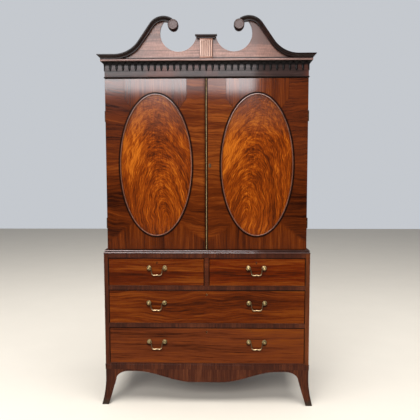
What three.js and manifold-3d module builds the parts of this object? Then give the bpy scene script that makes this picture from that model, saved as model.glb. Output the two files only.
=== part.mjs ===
// Linen press: a chest of drawers on splayed bracket feet, a press cupboard with two
// oval-panelled doors, and a loose cornice with a swan-neck pediment over pear-drop arcading.
// Millimetres, Z up, front towards -Y, X = 0 in the middle of the width.
import * as THREE from "three";
import { mergeVertices } from "three/addons/utils/BufferGeometryUtils.js";
import Module from "manifold-3d";

const wasm = await Module();
wasm.setup();

// Overall sizes
const chestHalfWidth = 630;
const chestDepth = 580;
const pressSetback = 20;
const pressHalfWidth = chestHalfWidth - pressSetback;
const footSplay = 22;
const handleReach = 24;
const frontOverhang = Math.max(footSplay, handleReach);
const front = -(chestDepth - frontOverhang) / 2;
const back = front + chestDepth;
const pressFront = front + pressSetback;

// Levels above the floor
const chestBottom = 219;
const longDrawerLowFloor = 257;
const railLowBottom = 485;
const longDrawerHighFloor = 510;
const railHighBottom = 721;
const shortDrawerFloor = 745;
const topRailBottom = 920;
const chestTop = 947;
const waistTop = 967;
const pressTopUnder = 1983;
const pressTop = 2003;
const doorReveal = 3;
const doorBottom = waistTop + doorReveal;
const doorTop = pressTop - doorReveal;
const arcadeTip = 2045;
const arcadeTop = 2099;
const corniceTop = 2116;
const crownTop = 2138.5;
const plinthTop = 2229;
const capTop = 2251;

// Board thicknesses
const chestSide = 26;
const pressSide = 20;
const backBoard = 12;
const dustBoard = 14;
const topRailDepth = 70;
const railDepth = 60;
const dividerHalf = 13;
const corniceWall = 20;
const corniceLid = 12;

// Clearances and overruns
const touchGap = 0.3;
const slideGap = 0.3;
const weld = 1;
const overrun = 6;
const frontGapSide = 2;
const frontGapLow = 1;
const frontGapTop = 2;

// Drawers
const drawerFront = 22;
const cockBeadWide = 3;
const cockBeadProud = 2.5;
const drawerBoxDepth = 500;
const drawerWall = 11;
const drawerFloor = 8;
const drawerBoxInset = 2;
const boxBelowTop = 12;
const keyholeRound = 3.5;
const keyholeSlotWide = 3;
const keyholeSlotLong = 9;
const keyholeDrop = 27;
const topKeyholeDrop = 29;
const keySegments = 8;
const postSegments = 10;
const ballSteps = 3;
const domeSteps = 2;

// Handles
const postHalfSpacing = 48;
const roseRadius = 14.5;
const roseRim = 1.2;
const roseThickness = 4.8;
const postNeck = 4;
const postBall = 7;
const postReach = 17;
const postBore = 3.1;
const bailEnd = 2.3;
const bailMiddle = 3.5;
const bailDrop = 43;
const bailBarShare = 0.94;
const bailElbowShare = 0.62;
const bailDipShare = 0.95;
const bailBarHalf = 24;
const bailPin = 9;
const bailShoulder = 12;
const bailRings = 14;
const bailSides = 6;
const longHandleX = 308;
const shortHandleX = 304;
const shortHandleZ = 858;
const highHandleZ = 640;
const lowHandleZ = 395;

// Waist moulding and base band, measured outwards from the face they are planted on
const waistProud = 21.5;
const waistQuirk = 1;
const waistFillet = 5;
const waistSteps = 7;
const bandProud = 3;
const bandHeight = 32;
const bandRound = 3;

// Feet and apron
const footThickness = 20;
const footTopReach = 158;
const footShoulder = 13;
const footArchRise = 206;
const footArchRadius = 58;
const footToeInset = 19;
const footWaistInset = 62;
const splayHeight = 165;
const footLevels = 6;
const apronRise = 206;
const apronCentre = 137;
const apronFlatHalf = 90;
const apronEndHalf = 440;
const apronSteps = 14;

// Doors
const doorThickness = 22;
const doorSideReveal = 0.5;
const doorEdge = pressHalfWidth - doorSideReveal;
const leftDoorInner = -4;
const meetingBeadHalf = 2.5;
const doorStandOff = 1;
const ovalCentreX = (doorEdge + meetingBeadHalf) / 2;
const ovalCentreZ = 1482;
const ovalHalfWide = 222;
const ovalHalfTall = 433;
const ovalMouldWide = 10;
const ovalMouldProud = 6;
const ovalMouldShares = [
  [0, 0],
  [0, 0.45],
  [0.3, 1],
  [0.66, 0.86],
  [0.84, 0.36],
  [1, 0.3],
  [1, 0],
];
const ovalLip = 4;
const ovalRebate = 12;
const ovalSkin = 8;
const ovalPanelThick = 9;
const ovalSegments = 44;
const beadNose = 3;
const lockX = 21;
const lockZ = 1482;
const lockCaseWide = 60;
const lockCaseTall = 64;
const lockCaseDeep = 9;
const lockTube = 5;
const plateWide = 8;
const plateTall = 13;
const plateThick = 1.5;

// Hinges
const hingeAxisOut = 4.5;
const hingeRadius = 4;
const hingePin = 2;
const hingeBore = 2.6;
const hingeHeight = 64;
const hingeKnuckle = 20;
const hingeLeaf = 2;
const hingeSides = 8;
const hingeLowZ = 1130;
const hingeHighZ = 1780;

// Trays, spread evenly between the lowest runner and the headroom
const runnerWide = 14;
const runnerTall = 18;
const trayCount = 4;
const trayHeight = 150;
const trayHeadroom = 113;
const trayFirst = waistTop + runnerTall;
const trayPitch = (pressTopUnder - trayHeadroom - trayHeight - trayFirst) / (trayCount - 1);
const trayLip = 62;
const trayWall = 9;
const trayFloor = 8;
const trayDepth = 490;
const trayFront = 66;
const traySideGap = 3;

// Cornice, outwards from the frieze face
const astragal = 4.5;
const astragalSteps = 6;
const beadIn = 18;
const beadOut = 21.5;
const beadTop = 2113;
const filletOut = 20;
const curveSteps = 5;
const crownProud = 38;
const crownFillet = 5;
const crownNose = 3;

// Pear-drop arcading: a coved band cut through by round-headed arches
const arcadeFoot = 3;
const arcadeHead = 15;
const arcadeCoveHeight = 27;
const arcadeCoveSteps = 2;
const arcadeBays = 32;
const arcadeSideBays = 15;
const archHalf = 12;
const archWeb = 3;
const archSteps = 4;
const dropNeck = 4.8;
const dropNeckRise = 30;
const dropBelly = 7;
const dropBellyRise = 19;
const dropNose = 0.9;

// Swan-neck pediment
const neckStartX = 545;
const neckHollow = 176.5;
const neckAngle = 0.962;
const neckStraight = 120;
const neckCrest = 99.25;
const neckPastCrest = 0.56;
const hollowSteps = 8;
const crestSteps = 12;
const boardThick = 20;
const boardUnderCrown = 3;
const cutInset = 29;
const cutFall = 39;
const cutRadius = 109;
const cutSegments = 36;
const roundelLead = 21.4;
const roundelFall = 27.6;
const roundelRadius = 31;
const roundelProud = 44;
const roundelEdge = 3;
const roundelSegments = 24;
const plinthHalf = 38.5;
const plinthThick = 16;
const fluteCount = 5;
const fluteHalf = 4;
const fluteDepth = 3;
const flutePitch = 12.3;
const fluteEnd = 11;
const fluteSides = 6;
const capHalf = 65;
const capStep = 12;
const capShares = [
  [0, 1],
  [0.3, 1],
  [0.36, 0.78],
  [0.64, 0.42],
  [0.7, 0],
  [1, 0],
];

// Finishes
const finishes = {
  carcase: { color: 0x5c2a17, roughness: 0.42, metalness: 0 },
  moulding: { color: 0x26130d, roughness: 0.38, metalness: 0 },
  drawer: { color: 0x7c3314, roughness: 0.36, metalness: 0 },
  rail: { color: 0x64301b, roughness: 0.4, metalness: 0 },
  door: { color: 0x5f2613, roughness: 0.33, metalness: 0 },
  flame: { color: 0xa5501a, roughness: 0.3, metalness: 0 },
  faded: { color: 0xa27a69, roughness: 0.55, metalness: 0 },
  frieze: { color: 0x6d5550, roughness: 0.4, metalness: 0 },
  lining: { color: 0xa9825a, roughness: 0.7, metalness: 0 },
  backing: { color: 0x8a6a48, roughness: 0.8, metalness: 0 },
  brass: { color: 0x9c7c48, roughness: 0.4, metalness: 0.9 },
};

const press = new THREE.Group();
press.name = "linen_press";

function addPart(name, geometry, finish) {
  const material = new THREE.MeshStandardMaterial(finishes[finish]);
  const mesh = new THREE.Mesh(geometry, material);
  mesh.name = name;
  press.add(mesh);
}

// Closed body through rings that hold the same number of points
function ringArea(ring) {
  const normal = new THREE.Vector3();
  ring.forEach((point, i) => {
    const next = ring[(i + 1) % ring.length];
    normal.x += (point[1] - next[1]) * (point[2] + next[2]);
    normal.y += (point[2] - next[2]) * (point[0] + next[0]);
    normal.z += (point[0] - next[0]) * (point[1] + next[1]);
  });
  return normal;
}

function capFaces(ring) {
  const normal = ringArea(ring).normalize();
  const helper = Math.abs(normal.z) > Math.SQRT1_2 ? new THREE.Vector3(1, 0, 0) : new THREE.Vector3(0, 0, 1);
  const across = new THREE.Vector3().crossVectors(helper, normal).normalize();
  const up = new THREE.Vector3().crossVectors(normal, across);
  const flat = ring.map((point) => {
    const at = new THREE.Vector3(...point);
    return new THREE.Vector2(at.dot(across), at.dot(up));
  });
  return THREE.ShapeUtils.triangulateShape(flat, []).map(([a, b, c]) => {
    const turn = (flat[b].x - flat[a].x) * (flat[c].y - flat[a].y);
    const other = (flat[b].y - flat[a].y) * (flat[c].x - flat[a].x);
    return turn > other ? [a, b, c] : [a, c, b];
  });
}

function faceted(positions, indices) {
  const geometry = new THREE.BufferGeometry();
  geometry.setAttribute("position", new THREE.Float32BufferAttribute(positions, 3));
  geometry.setIndex(indices);
  return outwards(geometry);
}

function outwards(geometry) {
  const at = geometry.getAttribute("position");
  const index = geometry.getIndex();
  const corners = [new THREE.Vector3(), new THREE.Vector3(), new THREE.Vector3()];
  const middle = new THREE.Vector3().fromBufferAttribute(at, 0);
  let volume = 0;
  for (let i = 0; i < index.count; i += 3) {
    corners.forEach((corner, k) => corner.fromBufferAttribute(at, index.getX(i + k)).sub(middle));
    volume += corners[0].dot(corners[1].cross(corners[2]));
  }
  if (volume < 0) {
    const flipped = [];
    for (let i = 0; i < index.count; i += 3) {
      flipped.push(index.getX(i), index.getX(i + 2), index.getX(i + 1));
    }
    geometry.setIndex(flipped);
  }
  return geometry;
}

function loft(rings, closed = false) {
  const count = rings[0].length;
  const positions = rings.flat(2);
  const indices = [];
  const last = closed ? rings.length : rings.length - 1;
  for (let r = 0; r < last; r += 1) {
    const next = (r + 1) % rings.length;
    for (let i = 0; i < count; i += 1) {
      const j = (i + 1) % count;
      const a = r * count + i;
      const b = r * count + j;
      const c = next * count + j;
      const d = next * count + i;
      indices.push(a, b, c, a, c, d);
    }
  }
  if (!closed) {
    const top = (rings.length - 1) * count;
    const foot = capFaces(rings[0]);
    const head = capFaces(rings[rings.length - 1]);
    foot.forEach(([a, b, c]) => indices.push(a, c, b));
    head.forEach(([a, b, c]) => indices.push(top + a, top + b, top + c));
  }
  return faceted(positions, indices);
}

// Straight bodies from an outline in one plane
function box(x0, x1, y0, y1, z0, z1) {
  const geometry = new THREE.BoxGeometry(x1 - x0, y1 - y0, z1 - z0);
  geometry.translate((x0 + x1) / 2, (y0 + y1) / 2, (z0 + z1) / 2);
  return geometry;
}

function slabY(outline, y0, y1) {
  return loft([outline.map(([x, z]) => [x, y0, z]), outline.map(([x, z]) => [x, y1, z])]);
}

function slabX(outline, x0, x1) {
  return loft([outline.map(([y, z]) => [x0, y, z]), outline.map(([y, z]) => [x1, y, z])]);
}

function slabZ(outline, z0, z1) {
  return loft([outline.map(([x, y]) => [x, y, z0]), outline.map(([x, y]) => [x, y, z1])]);
}

function ellipse(cx, cy, rx, ry, count) {
  return Array.from({ length: count }, (_, i) => {
    const turn = (2 * Math.PI * i) / count;
    return [cx + rx * Math.cos(turn), cy + ry * Math.sin(turn)];
  });
}

function arc(cx, cy, radius, from, to, steps) {
  return Array.from({ length: steps + 1 }, (_, i) => {
    const turn = from + ((to - from) * i) / steps;
    return [cx + radius * Math.cos(turn), cy + radius * Math.sin(turn)];
  });
}

// Joins and cuts
function toSolid(geometry) {
  const bare = geometry.clone();
  bare.deleteAttribute("normal");
  bare.deleteAttribute("uv");
  const merged = mergeVertices(bare);
  const vertProperties = new Float32Array(merged.getAttribute("position").array);
  const triVerts = new Uint32Array(merged.getIndex().array);
  return new wasm.Manifold(new wasm.Mesh({ numProp: 3, vertProperties, triVerts }));
}

function toGeometry(solid) {
  const mesh = solid.getMesh();
  const geometry = new THREE.BufferGeometry();
  geometry.setAttribute("position", new THREE.Float32BufferAttribute(mesh.vertProperties, 3));
  geometry.setIndex(Array.from(mesh.triVerts));
  return geometry;
}

function join(first, ...others) {
  const whole = others.reduce((sum, other) => sum.add(toSolid(other)), toSolid(first));
  return toGeometry(whole);
}

function cut(body, ...tools) {
  const rest = tools.reduce((left, tool) => left.subtract(toSolid(tool)), toSolid(body));
  return toGeometry(rest);
}

function mirrored(geometry) {
  const copy = geometry.clone();
  copy.deleteAttribute("normal");
  copy.deleteAttribute("uv");
  copy.scale(-1, 1, 1);
  return outwards(mergeVertices(copy));
}

function addPair(name, geometry, finish) {
  addPart(`${name}_left`, geometry, finish);
  addPart(`${name}_right`, mirrored(geometry), finish);
}

// A moulding that runs along one side, mitres round the front and returns on the other side
function wrapMoulding(profile, halfWidth, faceY, endY) {
  const corner = (sign, out) => [sign * (halfWidth + out), faceY - out];
  const rings = [
    profile.map(([out, z]) => [corner(-1, out)[0], endY, z]),
    profile.map(([out, z]) => [...corner(-1, out), z]),
    profile.map(([out, z]) => [...corner(1, out), z]),
    profile.map(([out, z]) => [corner(1, out)[0], endY, z]),
  ];
  return loft(rings);
}

// Lower chest
function chestSidePanel() {
  return box(-chestHalfWidth, -chestHalfWidth + chestSide, front, back, chestBottom, chestTop);
}

function railWithBoard(z0, z1, depth, boardAtTop) {
  const boardLow = boardAtTop ? z1 - dustBoard : z0;
  const boardHigh = boardAtTop ? z1 : z0 + dustBoard;
  const outline = boardAtTop
    ? [
        [front, z0],
        [front + depth, z0],
        [front + depth, boardLow],
        [back - backBoard, boardLow],
        [back - backBoard, boardHigh],
        [front, boardHigh],
      ]
    : [
        [front, z0],
        [back - backBoard, z0],
        [back - backBoard, boardHigh],
        [front + depth, boardHigh],
        [front + depth, z1],
        [front, z1],
      ];
  const inner = chestHalfWidth - chestSide;
  return slabX(outline, -inner, inner);
}

function chestBack() {
  const inner = chestHalfWidth - chestSide;
  return box(-inner, inner, back - backBoard, back, chestBottom, chestTop);
}

function shortDivider() {
  return box(-dividerHalf, dividerHalf, front, back - backBoard, shortDrawerFloor, topRailBottom);
}

function waistMoulding() {
  const quarter = arc(0, chestTop + waistFillet, 1, 0, Math.PI / 2, waistSteps).map(([c, s]) => [
    c * (waistProud - waistQuirk),
    chestTop + waistFillet + (s - chestTop - waistFillet) * (waistTop - chestTop - waistFillet),
  ]);
  const profile = [
    [0, chestTop],
    [waistProud, chestTop],
    [waistProud, chestTop + waistFillet],
    ...quarter,
  ];
  return wrapMoulding(profile, pressHalfWidth, pressFront, back);
}

function baseBand() {
  const profile = [
    [0, chestBottom],
    [bandProud, chestBottom],
    [bandProud, chestBottom + bandHeight - bandRound],
    [bandProud / 2, chestBottom + bandHeight],
    [0, chestBottom + bandHeight],
  ];
  return wrapMoulding(profile, chestHalfWidth, front, back);
}

function smooth(share) {
  return share * share * (3 - 2 * share);
}

function frontApron() {
  const end = chestHalfWidth - footTopReach;
  const curve = Array.from({ length: apronSteps + 1 }, (_, i) => {
    const x = apronEndHalf + ((apronFlatHalf - apronEndHalf) * i) / apronSteps;
    const share = (apronEndHalf - x) / (apronEndHalf - apronFlatHalf);
    return [x, apronRise + (apronCentre - apronRise) * smooth(share)];
  });
  const right = [[end, chestBottom], [end, apronRise], ...curve];
  const left = right.map(([x, z]) => [-x, z]).reverse();
  return slabY([...right, ...left], front, front + footThickness);
}

// Foot: an L of two brackets that sweep outwards at the toe
function splayAt(z) {
  return z < splayHeight ? footSplay * (1 - z / splayHeight) ** 2 : 0;
}

function footReach(z) {
  if (z >= footArchRise) {
    return footTopReach;
  }
  const archCentre = footArchRise - footArchRadius;
  const legReach = footWaistInset + (footToeInset - footWaistInset) * (1 - z / archCentre);
  if (z <= archCentre) {
    return legReach;
  }
  const rise = (z - archCentre) / footArchRadius;
  const sweep = 1 - Math.sqrt(1 - rise * rise);
  return footWaistInset + (footTopReach - footShoulder - footWaistInset) * sweep;
}

function footHeights() {
  const archCentre = footArchRise - footArchRadius;
  const leg = Array.from({ length: footLevels }, (_, i) => (archCentre * i) / footLevels);
  const arch = Array.from({ length: footLevels + 1 }, (_, i) => {
    return archCentre + footArchRadius * Math.sin(((Math.PI / 2) * i) / footLevels);
  });
  arch[footLevels] = footArchRise - touchGap;
  return [...leg, ...arch, footArchRise, chestBottom];
}

function foot(edgeY, inwards) {
  const rings = footHeights().map((z) => {
    const out = splayAt(z);
    const outY = inwards > 0 ? out : 0;
    const outerX = -chestHalfWidth - out;
    const outerY = edgeY - outY * inwards;
    const reach = footReach(z);
    const innerX = -chestHalfWidth + reach;
    const innerY = edgeY + reach * inwards;
    const legX = outerX + footThickness;
    const legY = outerY + footThickness * inwards;
    return [
      [outerX, outerY, z],
      [innerX, outerY, z],
      [innerX, legY, z],
      [legX, legY, z],
      [legX, innerY, z],
      [outerX, innerY, z],
    ];
  });
  return loft(rings);
}

// Drawers
function keyhole(x, z) {
  const y0 = front - overrun;
  const y1 = front + drawerFront + overrun;
  const round = slabY(ellipse(x, z, keyholeRound, keyholeRound, keySegments), y0, y1);
  const half = keyholeSlotWide / 2;
  const slot = box(x - half, x + half, y0, y1, z - keyholeSlotLong, z);
  return [round, slot];
}

function turned(profile, count, x, y, z) {
  const geometry = new THREE.LatheGeometry(
    profile.map(([radius, along]) => new THREE.Vector2(radius, along)),
    count,
  );
  geometry.rotateX(Math.PI);
  geometry.translate(x, y, z);
  return geometry;
}

function handlePost(x, z) {
  const ballTurn = Math.asin(postNeck / postBall);
  const ball = arc(0, postReach, postBall, -Math.PI / 2 + ballTurn, Math.PI / 2, ballSteps);
  ball[ball.length - 1][0] = 0;
  const dome = arc(0, 0, 1, 0, Math.PI / 2, domeSteps + 1).map(([c, s]) => [
    postNeck + (roseRadius - postNeck) * c,
    roseRim + (roseThickness - roseRim) * s,
  ]);
  const profile = [[0, -weld], [roseRadius, -weld], ...dome, ...ball];
  const post = turned(profile, postSegments, x, front, z);
  const bore = slabX(
    ellipse(front - postReach, z, postBore, postBore, bailSides),
    x - roseRadius,
    x + roseRadius,
  );
  return cut(post, bore);
}

function drawerFace(x0, x1, floor, ceiling, keyX, keyZ, handles, handleZ) {
  const z0 = floor + frontGapLow;
  const z1 = ceiling - frontGapTop;
  const board = box(x0, x1, front - cockBeadProud, front + drawerFront, z0, z1);
  const field = box(
    x0 + cockBeadWide,
    x1 - cockBeadWide,
    front - cockBeadProud - overrun,
    front,
    z0 + cockBeadWide,
    z1 - cockBeadWide,
  );
  const posts = handles.flatMap((x) => [
    handlePost(x - postHalfSpacing, handleZ),
    handlePost(x + postHalfSpacing, handleZ),
  ]);
  return join(cut(board, field, ...keyhole(keyX, keyZ)), ...posts);
}

function drawerBox(x0, x1, floor, ceiling) {
  const z0 = floor + slideGap;
  const z1 = ceiling - boxBelowTop;
  const y0 = front + drawerFront;
  const y1 = y0 + drawerBoxDepth;
  const body = box(x0, x1, y0, y1, z0, z1);
  const hollow = box(
    x0 + drawerWall,
    x1 - drawerWall,
    y0 - overrun,
    y1 - drawerWall,
    z0 + drawerFloor,
    z1 + overrun,
  );
  return cut(body, hollow);
}

function bail(x, z) {
  const inner = postHalfSpacing - bailPin;
  const half = [
    [postHalfSpacing, 0],
    [inner, 0],
    [inner - bailShoulder / 3, -bailShoulder / 4],
    [inner - bailShoulder / 2, -bailShoulder],
    [(inner + bailBarHalf) / 2, -bailDrop * bailElbowShare],
    [bailBarHalf, -bailDrop * bailBarShare],
    [bailBarHalf / 2, -bailDrop],
  ];
  const other = half.map(([px, pz]) => [-px, pz]).reverse();
  const points = [...half, [0, -bailDrop * bailDipShare], ...other].map(([px, pz]) => new THREE.Vector3(px, 0, pz));
  const curve = new THREE.CatmullRomCurve3(points, false, "centripetal");
  const rings = Array.from({ length: bailRings + 1 }, (_, i) => {
    const share = i / bailRings;
    const at = curve.getPointAt(share);
    const along = curve.getTangentAt(share);
    const radius = bailEnd + (bailMiddle - bailEnd) * Math.sin(Math.PI * share) ** 2;
    return ellipse(0, 0, radius, radius, bailSides).map(([u, v]) => [
      x + at.x - along.z * u,
      front - postReach + v,
      z + at.z + along.x * u,
    ]);
  });
  return loft(rings);
}

// Press cupboard
function hingeAxisX() {
  return -pressHalfWidth - hingeAxisOut;
}

function hingeAxisY() {
  return pressFront + doorThickness + doorStandOff / 2;
}

function hingePlate(x0, x1, y0, y1, z0, z1) {
  return box(x0, x1, y0, y1, z0, z1);
}

function knuckle(z0, z1, radius) {
  return slabZ(ellipse(hingeAxisX(), hingeAxisY(), radius, radius, hingeSides), z0, z1);
}

function carcaseHinge(z) {
  const y0 = pressFront + doorThickness + doorStandOff;
  const low = z - hingeHeight / 2;
  const high = z + hingeHeight / 2;
  const plate = hingePlate(-pressHalfWidth, -pressHalfWidth + pressSide, y0, y0 + hingeLeaf, low, high);
  const tabs = [
    [low, low + hingeKnuckle],
    [high - hingeKnuckle, high],
  ].flatMap(([z0, z1]) => [
    hingePlate(hingeAxisX(), -pressHalfWidth + weld, y0, y0 + hingeLeaf, z0, z1),
    knuckle(z0, z1, hingeRadius),
  ]);
  return join(plate, ...tabs, knuckle(low, high, hingePin));
}

function doorKnuckle(z) {
  const y1 = pressFront + doorThickness;
  const z0 = z - hingeHeight / 2 + hingeKnuckle + slideGap;
  const z1 = z + hingeHeight / 2 - hingeKnuckle - slideGap;
  const tab = hingePlate(hingeAxisX(), -doorEdge + overrun, y1 - hingeLeaf, y1, z0, z1);
  const barrel = knuckle(z0, z1, hingeRadius);
  const bore = knuckle(z0 - overrun, z1 + overrun, hingeBore);
  return cut(join(tab, barrel), bore);
}

function doorFrame(inner) {
  const y0 = pressFront;
  const y1 = pressFront + doorThickness;
  const holeWide = ovalHalfWide - ovalMouldWide + ovalLip;
  const holeTall = ovalHalfTall - ovalMouldWide + ovalLip;
  const hole = ellipse(-ovalCentreX, ovalCentreZ, holeWide, holeTall, ovalSegments);
  const seat = ellipse(
    -ovalCentreX,
    ovalCentreZ,
    holeWide + ovalRebate + touchGap,
    holeTall + ovalRebate + touchGap,
    ovalSegments,
  );
  const board = box(-doorEdge, inner, y0, y1, doorBottom, doorTop);
  const opened = cut(
    board,
    slabY(hole, y0 - overrun, y1 + overrun),
    slabY(seat, y0 + ovalSkin, y1 + overrun),
  );
  return join(opened, doorKnuckle(hingeLowZ), doorKnuckle(hingeHighZ));
}

function keyTube(radius, y0, y1) {
  return slabY(ellipse(lockX, lockZ, radius, radius, hingeSides), y0, y1);
}

function ovalPanel() {
  const wide = ovalHalfWide - ovalMouldWide + ovalLip + ovalRebate;
  const tall = ovalHalfTall - ovalMouldWide + ovalLip + ovalRebate;
  const outline = ellipse(-ovalCentreX, ovalCentreZ, wide, tall, ovalSegments);
  const y0 = pressFront + ovalSkin;
  return slabY(outline, y0, y0 + ovalPanelThick);
}

function ovalMoulding() {
  const rings = Array.from({ length: ovalSegments }, (_, i) => {
    const turn = (2 * Math.PI * i) / ovalSegments;
    return ovalMouldShares.map(([across, proud]) => {
      const wide = ovalHalfWide - ovalMouldWide * across;
      const tall = ovalHalfTall - ovalMouldWide * across;
      return [
        -ovalCentreX + wide * Math.cos(turn),
        pressFront - ovalMouldProud * proud,
        ovalCentreZ + tall * Math.sin(turn),
      ];
    });
  });
  return loft(rings, true);
}

function meetingBead() {
  const nose = arc(0, pressFront, meetingBeadHalf, Math.PI, 2 * Math.PI, curveSteps).map(([x, y]) => [
    x,
    pressFront + ((y - pressFront) * beadNose) / meetingBeadHalf,
  ]);
  const y1 = pressFront + doorThickness;
  const outline = [...nose, [meetingBeadHalf, y1], [-meetingBeadHalf, y1]];
  return slabZ(outline, doorBottom, doorTop);
}

function doorLock() {
  const y0 = pressFront + doorThickness;
  const caseBody = box(
    meetingBeadHalf,
    meetingBeadHalf + lockCaseWide,
    y0,
    y0 + lockCaseDeep,
    lockZ - lockCaseTall / 2,
    lockZ + lockCaseTall / 2,
  );
  const tube = keyTube(lockTube, pressFront - weld / 2, y0 + weld);
  const plate = slabY(
    ellipse(lockX, lockZ, plateWide, plateTall, roundelSegments),
    pressFront - plateThick,
    pressFront,
  );
  const hole = slabY(
    ellipse(lockX, lockZ, keyholeRound / 2, keyholeRound, keySegments),
    pressFront - overrun,
    pressFront + overrun,
  );
  return cut(join(caseBody, tube, plate), hole);
}

function pressSidePanel() {
  const y0 = pressFront + doorThickness + doorStandOff;
  const inner = -pressHalfWidth + pressSide;
  const board = box(-pressHalfWidth, inner, y0, back, waistTop, pressTopUnder);
  const runners = Array.from({ length: trayCount }, (_, i) => {
    const z = trayFirst + trayPitch * i;
    return box(inner - weld, inner + runnerWide, front + trayFront, back - backBoard, z - runnerTall, z);
  });
  const seats = [hingeLowZ, hingeHighZ].map((z) => {
    const half = hingeHeight / 2 + touchGap;
    return box(-pressHalfWidth - overrun, inner + overrun, y0 - overrun, y0 + hingeLeaf, z - half, z + half);
  });
  return cut(join(board, ...runners), ...seats);
}

function linenTray(index) {
  const half = pressHalfWidth - pressSide - traySideGap;
  const z0 = trayFirst + trayPitch * index;
  const z1 = z0 + trayHeight;
  const y0 = front + trayFront;
  const y1 = y0 + trayDepth;
  const body = box(-half, half, y0, y1, z0, z1);
  const hollow = box(-half + trayWall, half - trayWall, y0 + trayWall, y1 - trayWall, z0 + trayFloor, z1 + overrun);
  const dip = half - trayWall - trayLip;
  const lip = slabY(
    [
      [-dip - trayLip / 2, z1 + overrun],
      [-dip, z0 + trayLip],
      [dip, z0 + trayLip],
      [dip + trayLip / 2, z1 + overrun],
    ],
    y0 - overrun,
    y0 + trayWall + overrun,
  );
  return cut(body, hollow, lip);
}

// Cornice
function corniceFrame() {
  const outer = box(-pressHalfWidth, pressHalfWidth, pressFront, back, pressTop, corniceTop);
  const hollow = box(
    -pressHalfWidth + corniceWall,
    pressHalfWidth - corniceWall,
    pressFront + corniceWall,
    back - corniceWall,
    pressTop - overrun,
    corniceTop - corniceLid,
  );
  const half = astragal;
  const round = arc(0, pressTop + half, half, -Math.PI / 2, Math.PI / 2, astragalSteps);
  const profile = [[-weld, pressTop], ...round, [-weld, pressTop + 2 * half]];
  return join(cut(outer, hollow), wrapMoulding(profile, pressHalfWidth, pressFront, back));
}

function corniceMoulding() {
  const middle = (arcadeTop + beadTop) / 2;
  const half = (beadTop - arcadeTop) / 2;
  const bead = arc(0, 0, 1, -Math.PI / 2, Math.PI / 2, curveSteps).map(([c, s]) => [
    beadIn + (beadOut - beadIn) * c,
    middle + half * s,
  ]);
  const profile = [[0, arcadeTop], ...bead, [filletOut, beadTop], [filletOut, corniceTop], [0, corniceTop]];
  const level = wrapMoulding(profile, pressHalfWidth, pressFront, back);
  const returns = crownReturn();
  return join(level, returns, mirrored(returns));
}

// Crown section: [height above its underside, outwards from the face]
function crownProfile() {
  const height = crownTop - corniceTop;
  const hollowHigh = height - crownFillet;
  const wave = Array.from({ length: curveSteps + 1 }, (_, i) => {
    const share = i / curveSteps;
    const out = filletOut + (crownProud - crownNose - filletOut) * smooth(share);
    return [crownFillet / 2 + (hollowHigh - crownFillet / 2) * share, out];
  });
  return [[0, 0], [0, filletOut], ...wave, [hollowHigh, crownProud], [height, crownProud], [height, 0]];
}

function crownReturn() {
  const section = crownProfile().map(([high, out]) => [high === 0 ? -weld : high, out]);
  const rings = [
    section.map(([high, out]) => [-pressHalfWidth - out, pressFront - out + touchGap, corniceTop + high]),
    section.map(([high, out]) => [-pressHalfWidth - out, back, corniceTop + high]),
  ];
  return loft(rings);
}

// Outlines of the arches that leave the pear drops between them
function archOutlines(bays, pitch, start) {
  const drop = [
    [dropNose, arcadeTip - overrun],
    [dropNose, arcadeTip],
    [dropBelly, arcadeTip + dropBellyRise],
    [dropNeck, arcadeTip + dropNeckRise],
  ];
  const head = arc(0, arcadeTop - archWeb - archHalf, archHalf, Math.PI, 0, archSteps);
  return Array.from({ length: bays }, (_, bay) => {
    const low = start + pitch * bay;
    return [
      ...drop.map(([half, z]) => [low + half, z]),
      ...head.map(([x, z]) => [low + pitch / 2 + x, z]),
      ...drop.toReversed().map(([half, z]) => [low + pitch - half, z]),
    ];
  });
}

function arcading() {
  const coveFoot = arcadeTop - arcadeCoveHeight;
  const cove = arc(0, 0, 1, Math.PI, Math.PI / 2, arcadeCoveSteps).map(([c, s]) => [
    arcadeHead + (arcadeHead - arcadeFoot) * c,
    coveFoot + arcadeCoveHeight * s,
  ]);
  const profile = [[0, arcadeTip], [arcadeFoot, arcadeTip], ...cove, [0, arcadeTop]];
  const band = wrapMoulding(profile, pressHalfWidth, pressFront, back);
  const half = pressHalfWidth + arcadeFoot;
  const faceY = pressFront - arcadeFoot;
  const reach = arcadeHead + overrun;
  const front = archOutlines(arcadeBays, (2 * half) / arcadeBays, -half).map((outline) => {
    return slabY(outline, pressFront - reach, pressFront);
  });
  const sides = archOutlines(arcadeSideBays, (back - faceY) / arcadeSideBays, faceY).flatMap((outline) => [
    slabX(outline, -pressHalfWidth - reach, -pressHalfWidth),
    slabX(outline, pressHalfWidth, pressHalfWidth + reach),
  ]);
  return cut(band, ...front, ...sides);
}

// Swan neck: level start, hollow arc, straight rake, crest arc down to the roundel
function neckPath() {
  const hollow = Array.from({ length: hollowSteps + 1 }, (_, i) => {
    const turn = (neckAngle * i) / hollowSteps;
    const at = [neckStartX - neckHollow * Math.sin(turn), crownTop + neckHollow * (1 - Math.cos(turn))];
    return { at, turn };
  });
  const foot = hollow[hollowSteps].at;
  const head = [foot[0] - neckStraight * Math.cos(neckAngle), foot[1] + neckStraight * Math.sin(neckAngle)];
  const centre = [head[0] - neckCrest * Math.sin(neckAngle), head[1] - neckCrest * Math.cos(neckAngle)];
  const crest = Array.from({ length: crestSteps + 1 }, (_, i) => {
    const turn = neckAngle - ((neckAngle + neckPastCrest) * i) / crestSteps;
    return { at: [centre[0] + neckCrest * Math.sin(turn), centre[1] + neckCrest * Math.cos(turn)], turn };
  });
  return [...hollow, ...crest];
}

function neckEdge(below) {
  return neckPath().map(({ at, turn }) => [at[0] - below * Math.sin(turn), at[1] - below * Math.cos(turn)]);
}

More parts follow.
